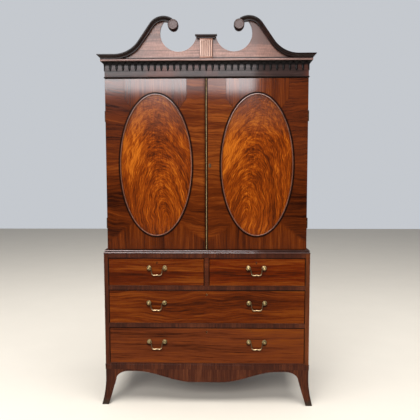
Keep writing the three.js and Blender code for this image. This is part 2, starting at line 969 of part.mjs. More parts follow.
function swanNeck() {
  const height = crownTop - corniceTop;
  const section = crownProfile();
  const mitre = section.map(([high, out]) => [
    -pressHalfWidth - out,
    pressFront - out,
    corniceTop + high,
  ]);
  const rings = neckPath().map(({ at, turn }) => {
    return section.map(([high, out]) => {
      const below = height - high;
      const x = at[0] - below * Math.sin(turn);
      return [-x, pressFront - out, at[1] - below * Math.cos(turn)];
    });
  });
  const body = loft([mitre, ...rings]);
  const socket = roundelDisc(roundelRadius + touchGap, pressFront - crownProud - overrun, pressFront + overrun);
  return cut(body, socket);
}

// The roundel hangs from the end of the neck, and the cut-out from the roundel
function roundelCentre() {
  const { at, turn } = neckPath().at(-1);
  return [
    at[0] - roundelFall * Math.sin(turn) - roundelLead * Math.cos(turn),
    at[1] - roundelFall * Math.cos(turn) + roundelLead * Math.sin(turn),
  ];
}

function roundelDisc(radius, y0, y1) {
  const [x, z] = roundelCentre();
  return slabY(ellipse(-x, z, radius, radius, roundelSegments), y0, y1);
}

function roundel() {
  const [x, z] = roundelCentre();
  const profile = [
    [0, 0],
    [roundelRadius, 0],
    [roundelRadius, roundelProud - roundelEdge],
    [roundelRadius - roundelEdge, roundelProud],
    [0, roundelProud],
  ];
  return turned(profile, roundelSegments, -x, pressFront, z);
}

function pedimentBoard() {
  const y1 = pressFront + boardThick;
  const crest = neckEdge(boardUnderCrown);
  const [roundelX, roundelZ] = roundelCentre();
  const cutX = roundelX - cutInset;
  const right = [
    [pressHalfWidth, corniceTop],
    [pressHalfWidth, crownTop - boardUnderCrown],
    ...crest,
    [roundelX, roundelZ],
    [cutX, capTop],
  ];
  const left = right.map(([x, z]) => [-x, z]).reverse();
  const ground = slabY([...right, ...left], pressFront, y1);
  const holes = [cutX, -cutX].map((x) => {
    const ring = ellipse(x, roundelZ - cutFall, cutRadius, cutRadius, cutSegments);
    return slabY(ring, pressFront - overrun, y1 + overrun);
  });
  const opened = cut(ground, ...holes);
  const low = neckEdge(crownTop - corniceTop).reverse();
  const band = slabY([...crest, ...low].map(([x, z]) => [-x, z]), pressFront, y1);
  const disc = roundelDisc(roundelRadius - roundelEdge, pressFront, y1);
  return join(opened, band, mirrored(band), disc, mirrored(disc));
}

function pedimentPlinth() {
  const y0 = pressFront - plinthThick;
  const block = box(-plinthHalf, plinthHalf, y0, pressFront, corniceTop, plinthTop);
  const flutes = Array.from({ length: fluteCount }, (_, i) => {
    const x = (i - (fluteCount - 1) / 2) * flutePitch;
    const hollow = ellipse(x, y0, fluteHalf, fluteDepth, fluteSides);
    return slabZ(hollow, corniceTop + fluteEnd, plinthTop - fluteEnd);
  });
  return cut(block, ...flutes);
}

function plinthCap() {
  const rise = capTop - plinthTop;
  const reach = capHalf - plinthHalf;
  const rings = capShares.map(([high, inset]) => {
    const half = capHalf - capStep * inset;
    const y0 = pressFront - plinthThick - reach / 2 + capStep * inset;
    const z = plinthTop + rise * high;
    return [
      [-half, pressFront, z],
      [-half, y0, z],
      [half, y0, z],
      [half, pressFront, z],
    ];
  });
  return loft(rings);
}

// Assembly of the lower chest
addPair("lower_side", chestSidePanel(), "carcase");
addPart("lower_top", railWithBoard(topRailBottom, chestTop, topRailDepth, true), "rail");
addPart("drawer_rail_upper", railWithBoard(railHighBottom, shortDrawerFloor, railDepth, true), "rail");
addPart("drawer_rail_lower", railWithBoard(railLowBottom, longDrawerHighFloor, railDepth, true), "rail");
addPart("lower_bottom", railWithBoard(chestBottom, longDrawerLowFloor, railDepth, true), "rail");
addPart("lower_back", chestBack(), "backing");
addPart("short_drawer_divider", shortDivider(), "rail");
addPart("waist_moulding", waistMoulding(), "moulding");
addPart("base_band", baseBand(), "rail");
addPart("front_apron", frontApron(), "carcase");
addPair("front_foot", foot(front, 1), "carcase");
addPair("back_foot", foot(back, -1), "carcase");

const openingHalf = chestHalfWidth - chestSide;
const longHalf = openingHalf - frontGapSide;
const shortInner = dividerHalf + frontGapSide;
const boxHalf = openingHalf - drawerBoxInset;
const boxInner = dividerHalf + drawerBoxInset;
const highKeyZ = railHighBottom - keyholeDrop;
const shortKeyZ = topRailBottom - topKeyholeDrop;

const lowHandles = [-longHandleX, longHandleX];
addPart(
  "drawer_front_lower",
  drawerFace(-longHalf, longHalf, longDrawerLowFloor, railLowBottom, 0, railLowBottom - keyholeDrop, lowHandles, lowHandleZ),
  "drawer",
);
addPart(
  "drawer_front_middle",
  drawerFace(-longHalf, longHalf, longDrawerHighFloor, railHighBottom, 0, highKeyZ, lowHandles, highHandleZ),
  "drawer",
);
const shortFace = drawerFace(
  -longHalf,
  -shortInner,
  shortDrawerFloor,
  topRailBottom,
  -shortHandleX,
  shortKeyZ,
  [-shortHandleX],
  shortHandleZ,
);
addPair("drawer_front_short", shortFace, "drawer");
addPart("drawer_box_lower", drawerBox(-boxHalf, boxHalf, longDrawerLowFloor, railLowBottom), "lining");
addPart("drawer_box_middle", drawerBox(-boxHalf, boxHalf, longDrawerHighFloor, railHighBottom), "lining");
addPair("drawer_box_short", drawerBox(-boxHalf, -boxInner, shortDrawerFloor, topRailBottom), "lining");
addPair("bail_short", bail(-shortHandleX, shortHandleZ), "brass");
addPair("bail_middle", bail(-longHandleX, highHandleZ), "brass");
addPair("bail_lower", bail(-longHandleX, lowHandleZ), "brass");

// Assembly of the press cupboard
const innerHalf = pressHalfWidth - pressSide;
addPart("upper_bottom", box(-pressHalfWidth, pressHalfWidth, pressFront, back, chestTop, waistTop), "carcase");
addPart(
  "upper_top",
  box(-pressHalfWidth, pressHalfWidth, pressFront + doorThickness + doorStandOff, back, pressTopUnder, pressTop),
  "carcase",
);
addPair("upper_side", pressSidePanel(), "carcase");
addPart("upper_back", box(-innerHalf, innerHalf, back - backBoard, back, waistTop, pressTopUnder), "backing");
for (let i = 0; i < trayCount; i += 1) {
  addPart(`linen_tray_${i + 1}`, linenTray(i), "lining");
}
addPart("door_frame_left", doorFrame(leftDoorInner), "door");
const rightFrame = mirrored(doorFrame(-meetingBeadHalf));
const tubeHole = keyTube(lockTube + touchGap, pressFront - overrun, pressFront + doorThickness + overrun);
addPart("door_frame_right", cut(rightFrame, tubeHole), "door");
addPair("oval_panel", ovalPanel(), "flame");
addPair("oval_moulding", ovalMoulding(), "moulding");
addPart("meeting_bead", meetingBead(), "brass");
addPart("door_lock", doorLock(), "brass");
addPair("hinge_low", carcaseHinge(hingeLowZ), "brass");
addPair("hinge_high", carcaseHinge(hingeHighZ), "brass");

// Assembly of the cornice
addPart("cornice_frame", corniceFrame(), "frieze");
addPart("cornice_moulding", corniceMoulding(), "moulding");
addPart("pear_drop_arcade", arcading(), "moulding");
addPart("pediment_board", pedimentBoard(), "faded");
addPair("swan_neck", swanNeck(), "moulding");
addPair("scroll_roundel", roundel(), "faded");
addPart("pediment_plinth", pedimentPlinth(), "faded");
addPart("plinth_cap", plinthCap(), "moulding");

export default press;
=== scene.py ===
"""Looks of the linen press: finer pieces, procedural finishes, studio and camera around the CAD part."""

import logging
import math
from dataclasses import dataclass
from enum import Enum
from functools import cached_property, reduce
from typing import Any, Callable, Iterable, Mapping, Optional, Sequence, Union

import bmesh
import bpy
from mathutils import Matrix, Vector


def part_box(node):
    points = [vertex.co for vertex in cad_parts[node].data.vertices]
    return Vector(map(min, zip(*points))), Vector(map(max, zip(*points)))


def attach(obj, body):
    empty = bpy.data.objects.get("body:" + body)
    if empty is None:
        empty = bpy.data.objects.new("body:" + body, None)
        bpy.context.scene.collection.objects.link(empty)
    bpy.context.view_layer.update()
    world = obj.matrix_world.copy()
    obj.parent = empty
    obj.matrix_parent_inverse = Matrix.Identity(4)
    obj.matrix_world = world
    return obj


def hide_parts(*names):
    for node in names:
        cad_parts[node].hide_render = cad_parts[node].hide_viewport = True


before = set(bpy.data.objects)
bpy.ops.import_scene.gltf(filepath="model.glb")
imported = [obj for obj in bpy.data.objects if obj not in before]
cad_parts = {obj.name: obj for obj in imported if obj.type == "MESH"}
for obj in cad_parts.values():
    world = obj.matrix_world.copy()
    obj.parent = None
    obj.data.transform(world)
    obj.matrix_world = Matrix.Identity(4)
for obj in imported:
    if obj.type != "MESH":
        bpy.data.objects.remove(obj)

logging.basicConfig(level=logging.INFO, format="%(message)s")
log = logging.getLogger("linen_press")

Point = tuple[float, float, float]
Pair = tuple[float, float]
Colour = tuple[float, float, float]
Material = bpy.types.Material
Object = bpy.types.Object
Socket = bpy.types.NodeSocket
PRESS_SET_BACK = 0.020
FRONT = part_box("lower_side_left")[0].y
PRESS_FRONT = FRONT + PRESS_SET_BACK
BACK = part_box("lower_side_left")[1].y
DOOR_BOTTOM = 0.970
DOOR_TOP = 2.000
DOOR_THICKNESS = 0.022
OVAL_X = 0.306
OVAL_Z = 1.482
OVAL_HALF = (0.222, 0.433)
ROUNDEL_X = 0.194
ROUNDEL_Z = 2.305
FULL_TURN = 2 * math.pi
TINY = 1e-9
WELD_DISTANCE = 1e-6
SHARP = 35.0
THIN_STEP = 0.0002
EASED_ABOVE = 38.0
# Near-black for painted shade, and for the dark mitre seam of the doors.
SHADE_AND_SEAM_DARK = (0.006, 0.002, 0.001)


class Axis(Enum):
    """Direction of the grain, as the order of the coordinates: across, along, across the other way."""

    X = (2, 0, 1)
    Z = (0, 2, 1)


class Side(Enum):
    """Left or right of the object's middle, as its sign along X."""

    LEFT = -1
    RIGHT = 1

    @property
    def label(self) -> str:
        """The side as it stands in the names of nodes."""
        return self.name.lower()


class End(Enum):
    """Front or back of the object, as the sign of the way inwards along Y."""

    FRONT = 1
    BACK = -1

    @property
    def label(self) -> str:
        """The end as it stands in the names of nodes."""
        return self.name.lower()


# Shader expressions
def math_method(operation: str, swapped: bool = False) -> Callable[..., "Expr"]:
    """Makes a method of an expression that adds one Math node.

    Args:
        operation: Name of the Math node's operation.
        swapped: Whether the expression stands after the other value.

    Returns:
        The method.
    """

    def method(self: "Expr", *others: Any) -> "Expr":
        """Joins the expression with other values by a Math node."""
        values = (*others, self) if swapped else (self, *others)
        return self.graph.value("ShaderNodeMath", {"operation": operation}, dict(enumerate(values)))

    return method


class Expr:
    """A float socket that takes part in Python arithmetic by adding Math nodes."""

    def __init__(self, graph: "Graph", socket: Socket) -> None:
        """Keeps the socket and the graph it belongs to."""
        self.graph = graph
        self.socket = socket

    __add__ = __radd__ = math_method("ADD")
    __sub__ = math_method("SUBTRACT")
    __rsub__ = math_method("SUBTRACT", swapped=True)
    __mul__ = __rmul__ = math_method("MULTIPLY")
    __truediv__ = math_method("DIVIDE")
    __rtruediv__ = math_method("DIVIDE", swapped=True)
    __pow__ = math_method("POWER")
    __abs__ = math_method("ABSOLUTE")
    root = math_method("SQRT")
    least = math_method("MINIMUM")
    most = math_method("MAXIMUM")
    over = math_method("GREATER_THAN")
    folded = math_method("PINGPONG")

    def held(self) -> "Expr":
        """The value held between 0 and 1."""
        return self.graph.value("ShaderNodeClamp", None, {"Value": self})

    def smooth(self, low: float, high: float) -> "Expr":
        """Smooth step from 0 at the low value to 1 at the high one."""
        inputs = {"Value": self, "From Min": low, "From Max": high}
        return self.graph.value("ShaderNodeMapRange", {"interpolation_type": "SMOOTHSTEP"}, inputs)

    def near(self, level: float, inner: float, outer: float) -> "Expr":
        """1 within an inner distance from a level, fading to 0 at an outer one."""
        return 1 - abs(self - level).smooth(inner, outer)

    def toward(self, other: "Expr", share: "Expr") -> "Expr":
        """This value moved towards another one by a share."""
        return self * (1 - share) + other * share

    def from_nearest(self, levels: Iterable[float]) -> "Expr":
        """Distance to the nearest of several levels."""
        return reduce(Expr.least, [abs(self - level) for level in levels])


class Graph:
    """The nodes of a material or of the world, with one method that adds any node."""

    def __init__(self, owner: Any, shader: str, output: str) -> None:
        """Empties the owner's nodes and joins a shader to its output.

        Args:
            owner: The material or the world.
            shader: Type of the shader.
            output: Type of the output.
        """
        owner.use_nodes = True
        self.owner = owner
        self.tree = owner.node_tree
        self.tree.nodes.clear()
        self.shader = self.node(shader)
        self.node(output, None, {"Surface": self.shader.outputs[0]})

    @classmethod
    def of_material(cls, name: str) -> "Graph":
        """The nodes of a new material with a Principled shader."""
        return cls(bpy.data.materials.new(name), "ShaderNodeBsdfPrincipled", "ShaderNodeOutputMaterial")

    def coordinates(self, kind: str) -> tuple[Expr, ...]:
        """Splits one kind of coordinates.

        Args:
            kind: Their name on the Texture Coordinate node.

        Returns:
            The three coordinates.
        """
        source = self.node("ShaderNodeTexCoord").outputs[kind]
        split = self.node("ShaderNodeSeparateXYZ", None, {0: source})
        return tuple(Expr(self, socket) for socket in split.outputs)

    @cached_property
    def place(self) -> tuple[Expr, ...]:
        """The place on the object, in metres."""
        return self.coordinates("Object")

    def node(
        self,
        kind: str,
        settings: Optional[Mapping[str, Any]] = None,
        inputs: Optional[Mapping[Union[str, int], Any]] = None,
    ) -> bpy.types.Node:
        """Adds one node.

        Args:
            kind: The node's type.
            settings: Properties to set first; "stops" fills a ramp with (place, colour) pairs.
            inputs: Values, expressions or sockets for its sockets, by name or index.

        Returns:
            The new node.
        """
        made = self.tree.nodes.new(kind)
        for key, value in (settings or {}).items():
            if key == "stops":
                ramp = made.color_ramp
                while len(ramp.elements) < len(value):
                    ramp.elements.new(0.5)
                for stop, (place, colour) in zip(ramp.elements, value):
                    stop.position = place
                    stop.color = (*colour, 1.0)
            else:
                setattr(made, key, value)
        for key, value in (inputs or {}).items():
            self.feed(made.inputs[key], value)
        return made

    def value(self, kind: str, settings: Optional[Mapping[str, Any]], inputs: Mapping[Any, Any]) -> Expr:
        """Adds one node and takes its first output as an expression."""
        return Expr(self, self.node(kind, settings, inputs).outputs[0])

    def feed(self, socket: Socket, value: Any) -> None:
        """Sets or links one socket.

        Args:
            socket: The socket to fill.
            value: A number, a tuple, a socket or an expression.
        """
        source = value.socket if isinstance(value, Expr) else value
        if isinstance(source, Socket):
            self.tree.links.new(source, socket)
        elif isinstance(source, tuple) and socket.type == "RGBA":
            socket.default_value = (*source, 1.0)
        else:
            socket.default_value = source

    def noise(self, x: Any, y: Any, z: Any, detail: float = 3.0, roughness: float = 0.55) -> Expr:
        """Noise at the given coordinates, whose scale is already in them.

        Args:
            x: First coordinate.
            y: Second coordinate.
            z: Third coordinate.
            detail: Octaves.
            roughness: Weight of the finer octaves.

        Returns:
            A value around 0.5.
        """
        vector = self.node("ShaderNodeCombineXYZ", None, {0: x, 1: y, 2: z}).outputs[0]
        inputs = {"Vector": vector, "Scale": 1.0, "Detail": detail, "Roughness": roughness}
        return self.value("ShaderNodeTexNoise", None, inputs)

    def mix(self, share: Any, first: Any, second: Any) -> Socket:
        """Mixes two colours, each a triple or a socket; the share is the weight of the second."""
        return self.node("ShaderNodeMix", {"data_type": "RGBA"}, {0: share, 6: first, 7: second}).outputs[2]

    def bump(self, height: Expr, depth: float) -> Socket:
        """Normals of a height from 0 to 1 that is so many metres deep."""
        inputs = {"Strength": 1.0, "Distance": depth, "Height": height}
        return self.node("ShaderNodeBump", None, inputs).outputs[0]

    def finish(self, **sockets: Any) -> Any:
        """Feeds the shader's inputs.

        Args:
            sockets: Values of the inputs, by name with _ for a space.

        Returns:
            The finished material or world.
        """
        for key, value in sockets.items():
            self.feed(self.shader.inputs[key.replace("_", " ")], value)
        return self.owner


# Finishes
@dataclass(frozen=True)
class Wood:
    """A polished veneer or solid timber with straight grain."""

    name: str
    dark: Colour
    mid: Colour
    light: Colour
    grain: Axis = Axis.X
    density: float = 1.0
    wave: float = 0.01
    contrast: float = 1.0
    roughness: float = 0.3
    coat: float = 0.10
    gloss: float = 0.07
    body: float = 0.05
    index: float = 1.5
    seed: float = 0.0
    pore_depth: float = 0.00012

    def tone(self, graph: Graph, across: Expr, along: Expr, other: Expr) -> tuple[Expr, Expr]:
        """Tone of the figure, from places in metres.

        Args:
            graph: The material's graph.
            across: Place across the grain.
            along: Place along the grain.
            other: Place across the grain the other way.

        Returns:
            The tone, around 0.5, and the fine pores.
        """
        d = self.density
        warp = graph.noise(across * 3.0, along * 1.6 + self.seed, other * 3.0, 2.0) - 0.5
        line = across + warp * (self.wave * 4.0)
        broad = graph.noise(line * (13.0 * d), along * 1.1 + self.seed, other * 6.0, 3.0, 0.5)
        bands = graph.noise(line * (70.0 * d), along * 4.0 + self.seed, other * 20.0, 4.0, 0.78)
        pores = graph.noise(line * (420.0 * d), along * 14.0 + self.seed, other * 200.0, 2.0, 0.6)
        tone = broad * 0.36 + bands * 0.52 + pores * 0.12
        return (tone - 0.5) * (2.3 * self.contrast) + 0.5, pores

    def start(self) -> tuple[Graph, Expr, Expr]:
        """Starts the material: its graph, and the tone and pores of its own grain."""
        graph = Graph.of_material(self.name)
        return graph, *self.tone(graph, *(graph.place[i] for i in self.grain.value))

    def colour(self, graph: Graph, tone: Expr) -> Socket:
        """Colour of a tone, dark through mid to light."""
        stops = ((0.12, self.dark), (0.5, self.mid), (0.88, self.light))
        return graph.node("ShaderNodeValToRGB", {"stops": stops}, {0: tone}).outputs[0]

    def polish(self, graph: Graph, colour: Any, pores: Expr, dull: Any = 0.0, left: Any = 1.0) -> Material:
        """Adds the polish, its wear and the open pores.

        Args:
            graph: The material's graph.
            colour: Colour of the timber.
            pores: Fine pores of the timber.
            dull: Roughness that some parts of the surface have on top.
            left: Share of the polish that is left there.

        Returns:
            The finished material.
        """
        x, y, z = graph.place
        wear = graph.noise(x * 5.0, y * 5.0, z * 5.0 + self.seed, 4.0, 0.6)
        return graph.finish(
            Base_Color=colour,
            Roughness=wear * 0.20 + pores * 0.08 + (self.roughness - 0.14) + dull,
            Normal=graph.bump(pores, self.pore_depth),
            Coat_Weight=left * self.coat,
            Coat_Roughness=self.gloss,
            Coat_IOR=self.index,
            Specular_IOR_Level=self.body,
        )

    def material(self) -> Material:
        """Builds the material."""
        graph, tone, pores = self.start()
        return self.polish(graph, self.colour(graph, tone), pores)


@dataclass(frozen=True)
class DoorVeneer(Wood):
    """Door face veneer: cross-grained stiles with upright panels above and below the oval."""

    centre: Pair = (0.0, OVAL_Z)
    oval: Pair = OVAL_HALF
    panel_half: float = 0.188
    mitre: Pair = (0.150, 0.351)
    mitre_slope: float = 0.76
    fall: float = 0.0
    inner_face: float = -0.2365

    def dirt(self, x: Expr, z: Expr) -> Expr:
        """Painted shade along the meeting edges and round the oval.

        Args:
            x: Place across the press.
            z: Height.

        Returns:
            Its weight from 0 to 1.
        """
        # Painted shadow beside the meeting edge of the left door, and painted shade along both meeting edges.
        shadow = (1 - abs(x).smooth(0.004, 0.026)) * (1 - x.over(0.0)) * 0.75
        meeting = (1 - abs(x).smooth(0.0070, 0.0125)).most(shadow)
        # Painted shade just outside the oval moulding, where it meets the veneer.
        wide, tall = self.oval
        dx = (x - self.centre[0]) / wide
        dz = (z - self.centre[1]) / tall
        steep = (dx * dx / (wide * wide) + dz * dz / (tall * tall)).root() * 2.0
        outside = (dx * dx + dz * dz - 1) / steep
        return (meeting * 0.86).most((1 - outside.smooth(0.0030, 0.0095)) * 0.92)

    def material(self) -> Material:
        """Builds the material: an upright panel, mitred into the stiles above and soft-edged below.

        Returns:
            The material.
        """
        graph = Graph.of_material(self.name)
        x, y, z = graph.place
        off = abs(x - self.centre[0])
        rise = abs(z - self.centre[1])
        below = (self.centre[1] - z).over(0.0)
        mitre_half, mitre_rise = self.mitre
        ragged = (graph.noise(x * 110.0, y, z * 26.0, 3.0, 0.6) - 0.5) * 0.050 * below
        mitred = (rise - mitre_rise) * (below * 0.54 + self.mitre_slope) + mitre_half
        edge = mitred.least(below * 0.20 + self.panel_half) + ragged
        inside = y.over(self.inner_face)
        upright = ((edge - off) / (below * 0.026 + 0.0008) + 0.5).held().most(inside)
        curl = graph.noise(x * 5.0, y, z * 7.0 + self.seed, 3.0, 0.6) - 0.5
        stile, stile_pores = self.tone(graph, z + x * self.fall + curl * 0.055, x, y)
        panel, panel_pores = self.tone(graph, x * 1.7 + curl * 0.01, z * 0.8, y)
        low = 1 - z.smooth(1.05, 1.50)
        shade = abs(x).smooth(0.08, 0.60) * 0.20 + low * 0.10 - 0.05
        tone = (stile - shade).toward(panel - low * 0.04 - 0.06, upright)
        seam = off.near(edge, 0.0, 0.0028) * rise.over(mitre_rise - 0.04) * (1 - below * 0.9) * 0.6
        # The dark mitre seam together with the painted shade; the mask darkens the colour and takes off the
        # polish.
        shade_and_seams = seam.most(self.dirt(x, z)) * (1 - inside)
        colour = graph.mix(shade_and_seams, self.colour(graph, tone), SHADE_AND_SEAM_DARK)
        outer = abs(x).smooth(0.05, 0.45) * 0.60 + x.over(0.0) * 0.22
        left = upright * 0.70 + outer * (1 - upright) + 0.26
        left = left * (z.smooth(1.30, 1.70) * 0.94 + 0.06) * (1 - shade_and_seams)
        pores = stile_pores.toward(panel_pores, upright)
        return self.polish(graph, colour, pores, (1 - upright) * 0.08, left)


@dataclass(frozen=True)
class FlameVeneer(Wood):
    """Flame figure: nested arches that climb a leaning axis and run down into upright streaks."""

    axis_x: float = 0.0
    focus_z: float = 1.16
    lean: float = -0.10
    squeeze: float = 0.40
    glow_x: float = 0.0
    cloud: Pair = (0.0, 1.6)
    inner_face: float = -0.2420
    # Colour of the painted sky reflection at the head of the panel.
    reflected_sky: Colour = (0.090, 0.034, 0.018)

    def figure(self, graph: Graph) -> tuple[Expr, Expr]:
        """The feathered arches.

        Args:
            graph: The material's graph.

        Returns:
            Their tone, around 0.5, and the fine pores.
        """
        x, _, z = graph.place
        drift = graph.noise(x * 4.0, self.seed, z * 4.0, 3.0, 0.55) - 0.5
        wobble = graph.noise(x * 15.0, self.seed + 5.0, z * 11.0, 2.0, 0.5) - 0.5
        up = z - self.focus_z
        side = x - self.axis_x - up * self.lean + drift * 0.10 + wobble * 0.022
        rise = up.most(up * 0.12)
        wide = side / self.squeeze
        ring = (wide * wide + rise * rise + 0.0003).root()
        coarse = graph.noise(ring * 18.0, side * 10.0, up * 2.4 + self.seed, 2.0, 0.6)
        streak = graph.noise(ring * 76.0, side * 26.0, up * 8.0 + self.seed + 2.0, 3.0, 0.65)
        feather = graph.noise(ring * 190.0, side * 56.0, up * 20.0 + self.seed + 4.0, 2.0, 0.6)
        fine = graph.noise(side * 300.0, up * 9.0, self.seed + 6.0, 2.0, 0.6)
        patch = graph.noise(x * 5.0, self.seed + 9.0, z * 3.0, 2.0, 0.5)
        tone = coarse * 0.26 + streak * 0.40 + feather * 0.34 + (patch - 0.5) * 0.10 + (fine - 0.5) * 0.24
        return tone, fine

    def material(self) -> Material:
        """Builds the material: the figure, glowing on one side, clouded in one place, with a painted sky
        reflection at its head.

        Returns:
            The material.
        """
        graph = Graph.of_material(self.name)
        x, y, z = graph.place
        tone, fine = self.figure(graph)
        glow = 1 - ((x - self.glow_x) * 9.0).least(1.0).most(-1.0) ** 2.0
        dx = (x - self.cloud[0]) * 9.0
        dz = (z - self.cloud[1]) * 6.0
        cloud = 1 - (dx * dx + dz * dz).least(1.0)
        tone = tone + glow * z.smooth(1.35, 1.60) * 0.075 - cloud * 0.06 - (1 - z.smooth(1.15, 1.60)) * 0.018
        tone = (tone - 0.5) * (3.05 * self.contrast) + 0.47
        # Painted reflection of the sky over the head of the panel.
        high = z.smooth(1.62, 1.80)
        colour = graph.mix(high * 0.40, self.colour(graph, tone), self.reflected_sky)
        plain = self.tone(graph, x * 1.7, z * 0.8, y)[0]
        colour = graph.mix(y.over(self.inner_face), colour, self.colour(graph, plain * 0.5 - 0.05))
        return self.polish(graph, colour, fine, 0.0, high * 0.75 + 0.25)


@dataclass(frozen=True)
class FadedBoard(Wood):
    """Sun-faded board, jointed from two widths, stained, with painted shade where it meets the mouldings."""

    joint_level: float = 2.1615
    joint_slope: float = -0.012

    def material(self) -> Material:
        """Builds the material.

        Returns:
            The material.
        """
        graph, tone, pores = self.start()
        x, y, z = graph.place
        stain = graph.noise(x * 9.0, y, z * 14.0 + 3.0, 4.0, 0.6)
        scratch = graph.noise(x * 260.0, y, z * 60.0, 3.0, 0.6)
        shade = x.smooth(-0.3, 0.5) * 0.12 + z.smooth(2.16, 2.26) * (x.smooth(-0.3, 0.1) * 0.42 + 0.18)
        colour = self.colour(graph, tone - shade + (scratch - 0.5) * 0.9)
        joint = (z - x * self.joint_slope).near(self.joint_level, 0.0004, 0.0030)
        # Real stains, with painted shade towards the foot where the board meets the cornice.
        foot = ((1 - z.smooth(2.116, 2.135)) * 0.4 + stain.smooth(0.52, 0.72) * 0.4).held()
        # Painted shadow line along the foot of the board, just above the cornice.
        line = 1 - z.smooth(2.1220, 2.1260)
        for weight, dark in (
            (joint * 0.8, (0.05, 0.018, 0.012)),
            (foot, (0.09, 0.048, 0.038)),
            (line * 0.9, (0.010, 0.005, 0.004)),
        ):
            colour = graph.mix(weight, colour, dark)
        return self.polish(graph, colour, pores)


@dataclass(frozen=True)
class BeadTimber(Wood):
    """Timber of the cornice bead, with painted shade in the quirks above and below it."""

    low: float = 2.1005
    high: float = 2.1125

    def material(self) -> Material:
        """Builds the material.

        Returns:
            The material.
        """
        graph, tone, pores = self.start()
        z = graph.place[2]
        # Painted shade in the quirks below and above the bead; it darkens the colour and takes off the
        # polish.
        dirt = (1 - z.smooth(self.low, self.low + 0.0015)) + z.smooth(self.high - 0.0008, self.high)
        colour = graph.mix(dirt.held() * 0.92, self.colour(graph, tone), (0.006, 0.003, 0.003))
        return self.polish(graph, colour, pores, dirt * 0.3, 1 - dirt)


@dataclass(frozen=True)
class RimTimber(Wood):
    """Rim of an oval, coloured pale tan partly as a painted highlight line, whose polish catches the light
    towards the head of the door.
    """

    lit: Pair = (1.50, 1.86)

    def material(self) -> Material:
        """Builds the material.

        Returns:
            The material.
        """
        graph, tone, pores = self.start()
        left = graph.place[2].smooth(*self.lit) * 0.92 + 0.08
        return self.polish(graph, self.colour(graph, tone), pores, 0.0, left)


@dataclass(frozen=True)
class CockBeadTimber(Wood):
    """Cock bead, near-black partly as painted shade in the gaps round the drawers, with a painted highlight
    along the foot of each drawer.
    """

    floors: tuple[float, ...] = (0.2573, 0.5103, 0.7453)

    def material(self) -> Material:
        """Builds the material.

        Returns:
            The material.
        """
        graph, tone, pores = self.start()
        # Painted highlight along the foot of each drawer.
        wear_and_highlight = 1 - graph.place[2].from_nearest(self.floors).smooth(0.0028, 0.0036)
        return self.polish(graph, self.colour(graph, tone + wear_and_highlight * 0.45), pores)


@dataclass(frozen=True)
class SideVeneer(Wood):
    """Veneer of the chest's sides, paler on the front edge of the right-hand one."""

    front_y: float = -0.278
    right_x: float = 0.60
    pale: Colour = (0.140, 0.036, 0.008)

    def material(self) -> Material:
        """Builds the material.

        Returns:
            The material.
        """
        graph, tone, pores = self.start()
        x, y, z = graph.place
        worn = (1 - (y - self.front_y).smooth(0.0010, 0.0030)) * x.over(self.right_x)
        worn = worn * (tone * 0.8 + 0.1).held() * (z.smooth(0.20, 0.60) * 0.35 + 0.55)
        return self.polish(graph, graph.mix(worn, self.colour(graph, tone), self.pale), pores)


@dataclass(frozen=True)
class WaistTimber(Wood):
    """Waist moulding: a painted highlight line along each of its two beads, where the polish lies, and
    painted shade over the rest.
    """

    beads: Pair = (0.9517, 0.9632)

    def material(self) -> Material:
        """Builds the material.

        Returns:
            The material.
        """
        graph, tone, pores = self.start()
        x, _, z = graph.place
        # Painted highlight lines along the two beads, the upper one fading towards the right; painted shade
        # everywhere else.
        low, high = (z.near(level, 0.0009, 0.0020) for level in self.beads)
        wear_and_highlight = low + high * (1 - x.smooth(0.12, 0.40) * 0.6)
        colour = graph.mix((1 - wear_and_highlight) * 0.85, self.colour(graph, tone), SHADE_AND_SEAM_DARK)
        return self.polish(graph, colour, pores, (1 - wear_and_highlight) * 0.4, wear_and_highlight)


@dataclass(frozen=True)
class FlutedTimber(Wood):
    """Upright grain of the plinth block, with a painted highlight on the ridges and painted shade in the
    flutes.
    """

    pitch: float = 0.0123
    foot: Pair = (2.124, 2.128)
    head: Pair = (2.216, 2.220)
    # Colour of the painted shade in the flutes.
    hollow: Colour = (0.085, 0.038, 0.028)

    def material(self) -> Material:
        """Builds the material.

        Returns:
            The material.
        """
        graph, tone, pores = self.start()
        x, _, z = graph.place
        band = z.smooth(*self.foot) * (1 - z.smooth(*self.head))
        # Painted highlight on the ridges and painted shade in the flutes, across the fluted band.
        ridge = x.folded(self.pitch / 2).smooth(0.0012, 0.0046) * band
        colour = self.colour(graph, tone + ridge * 0.45)
        return self.polish(graph, graph.mix(band * (1 - ridge) * 0.75, colour, self.hollow), pores)


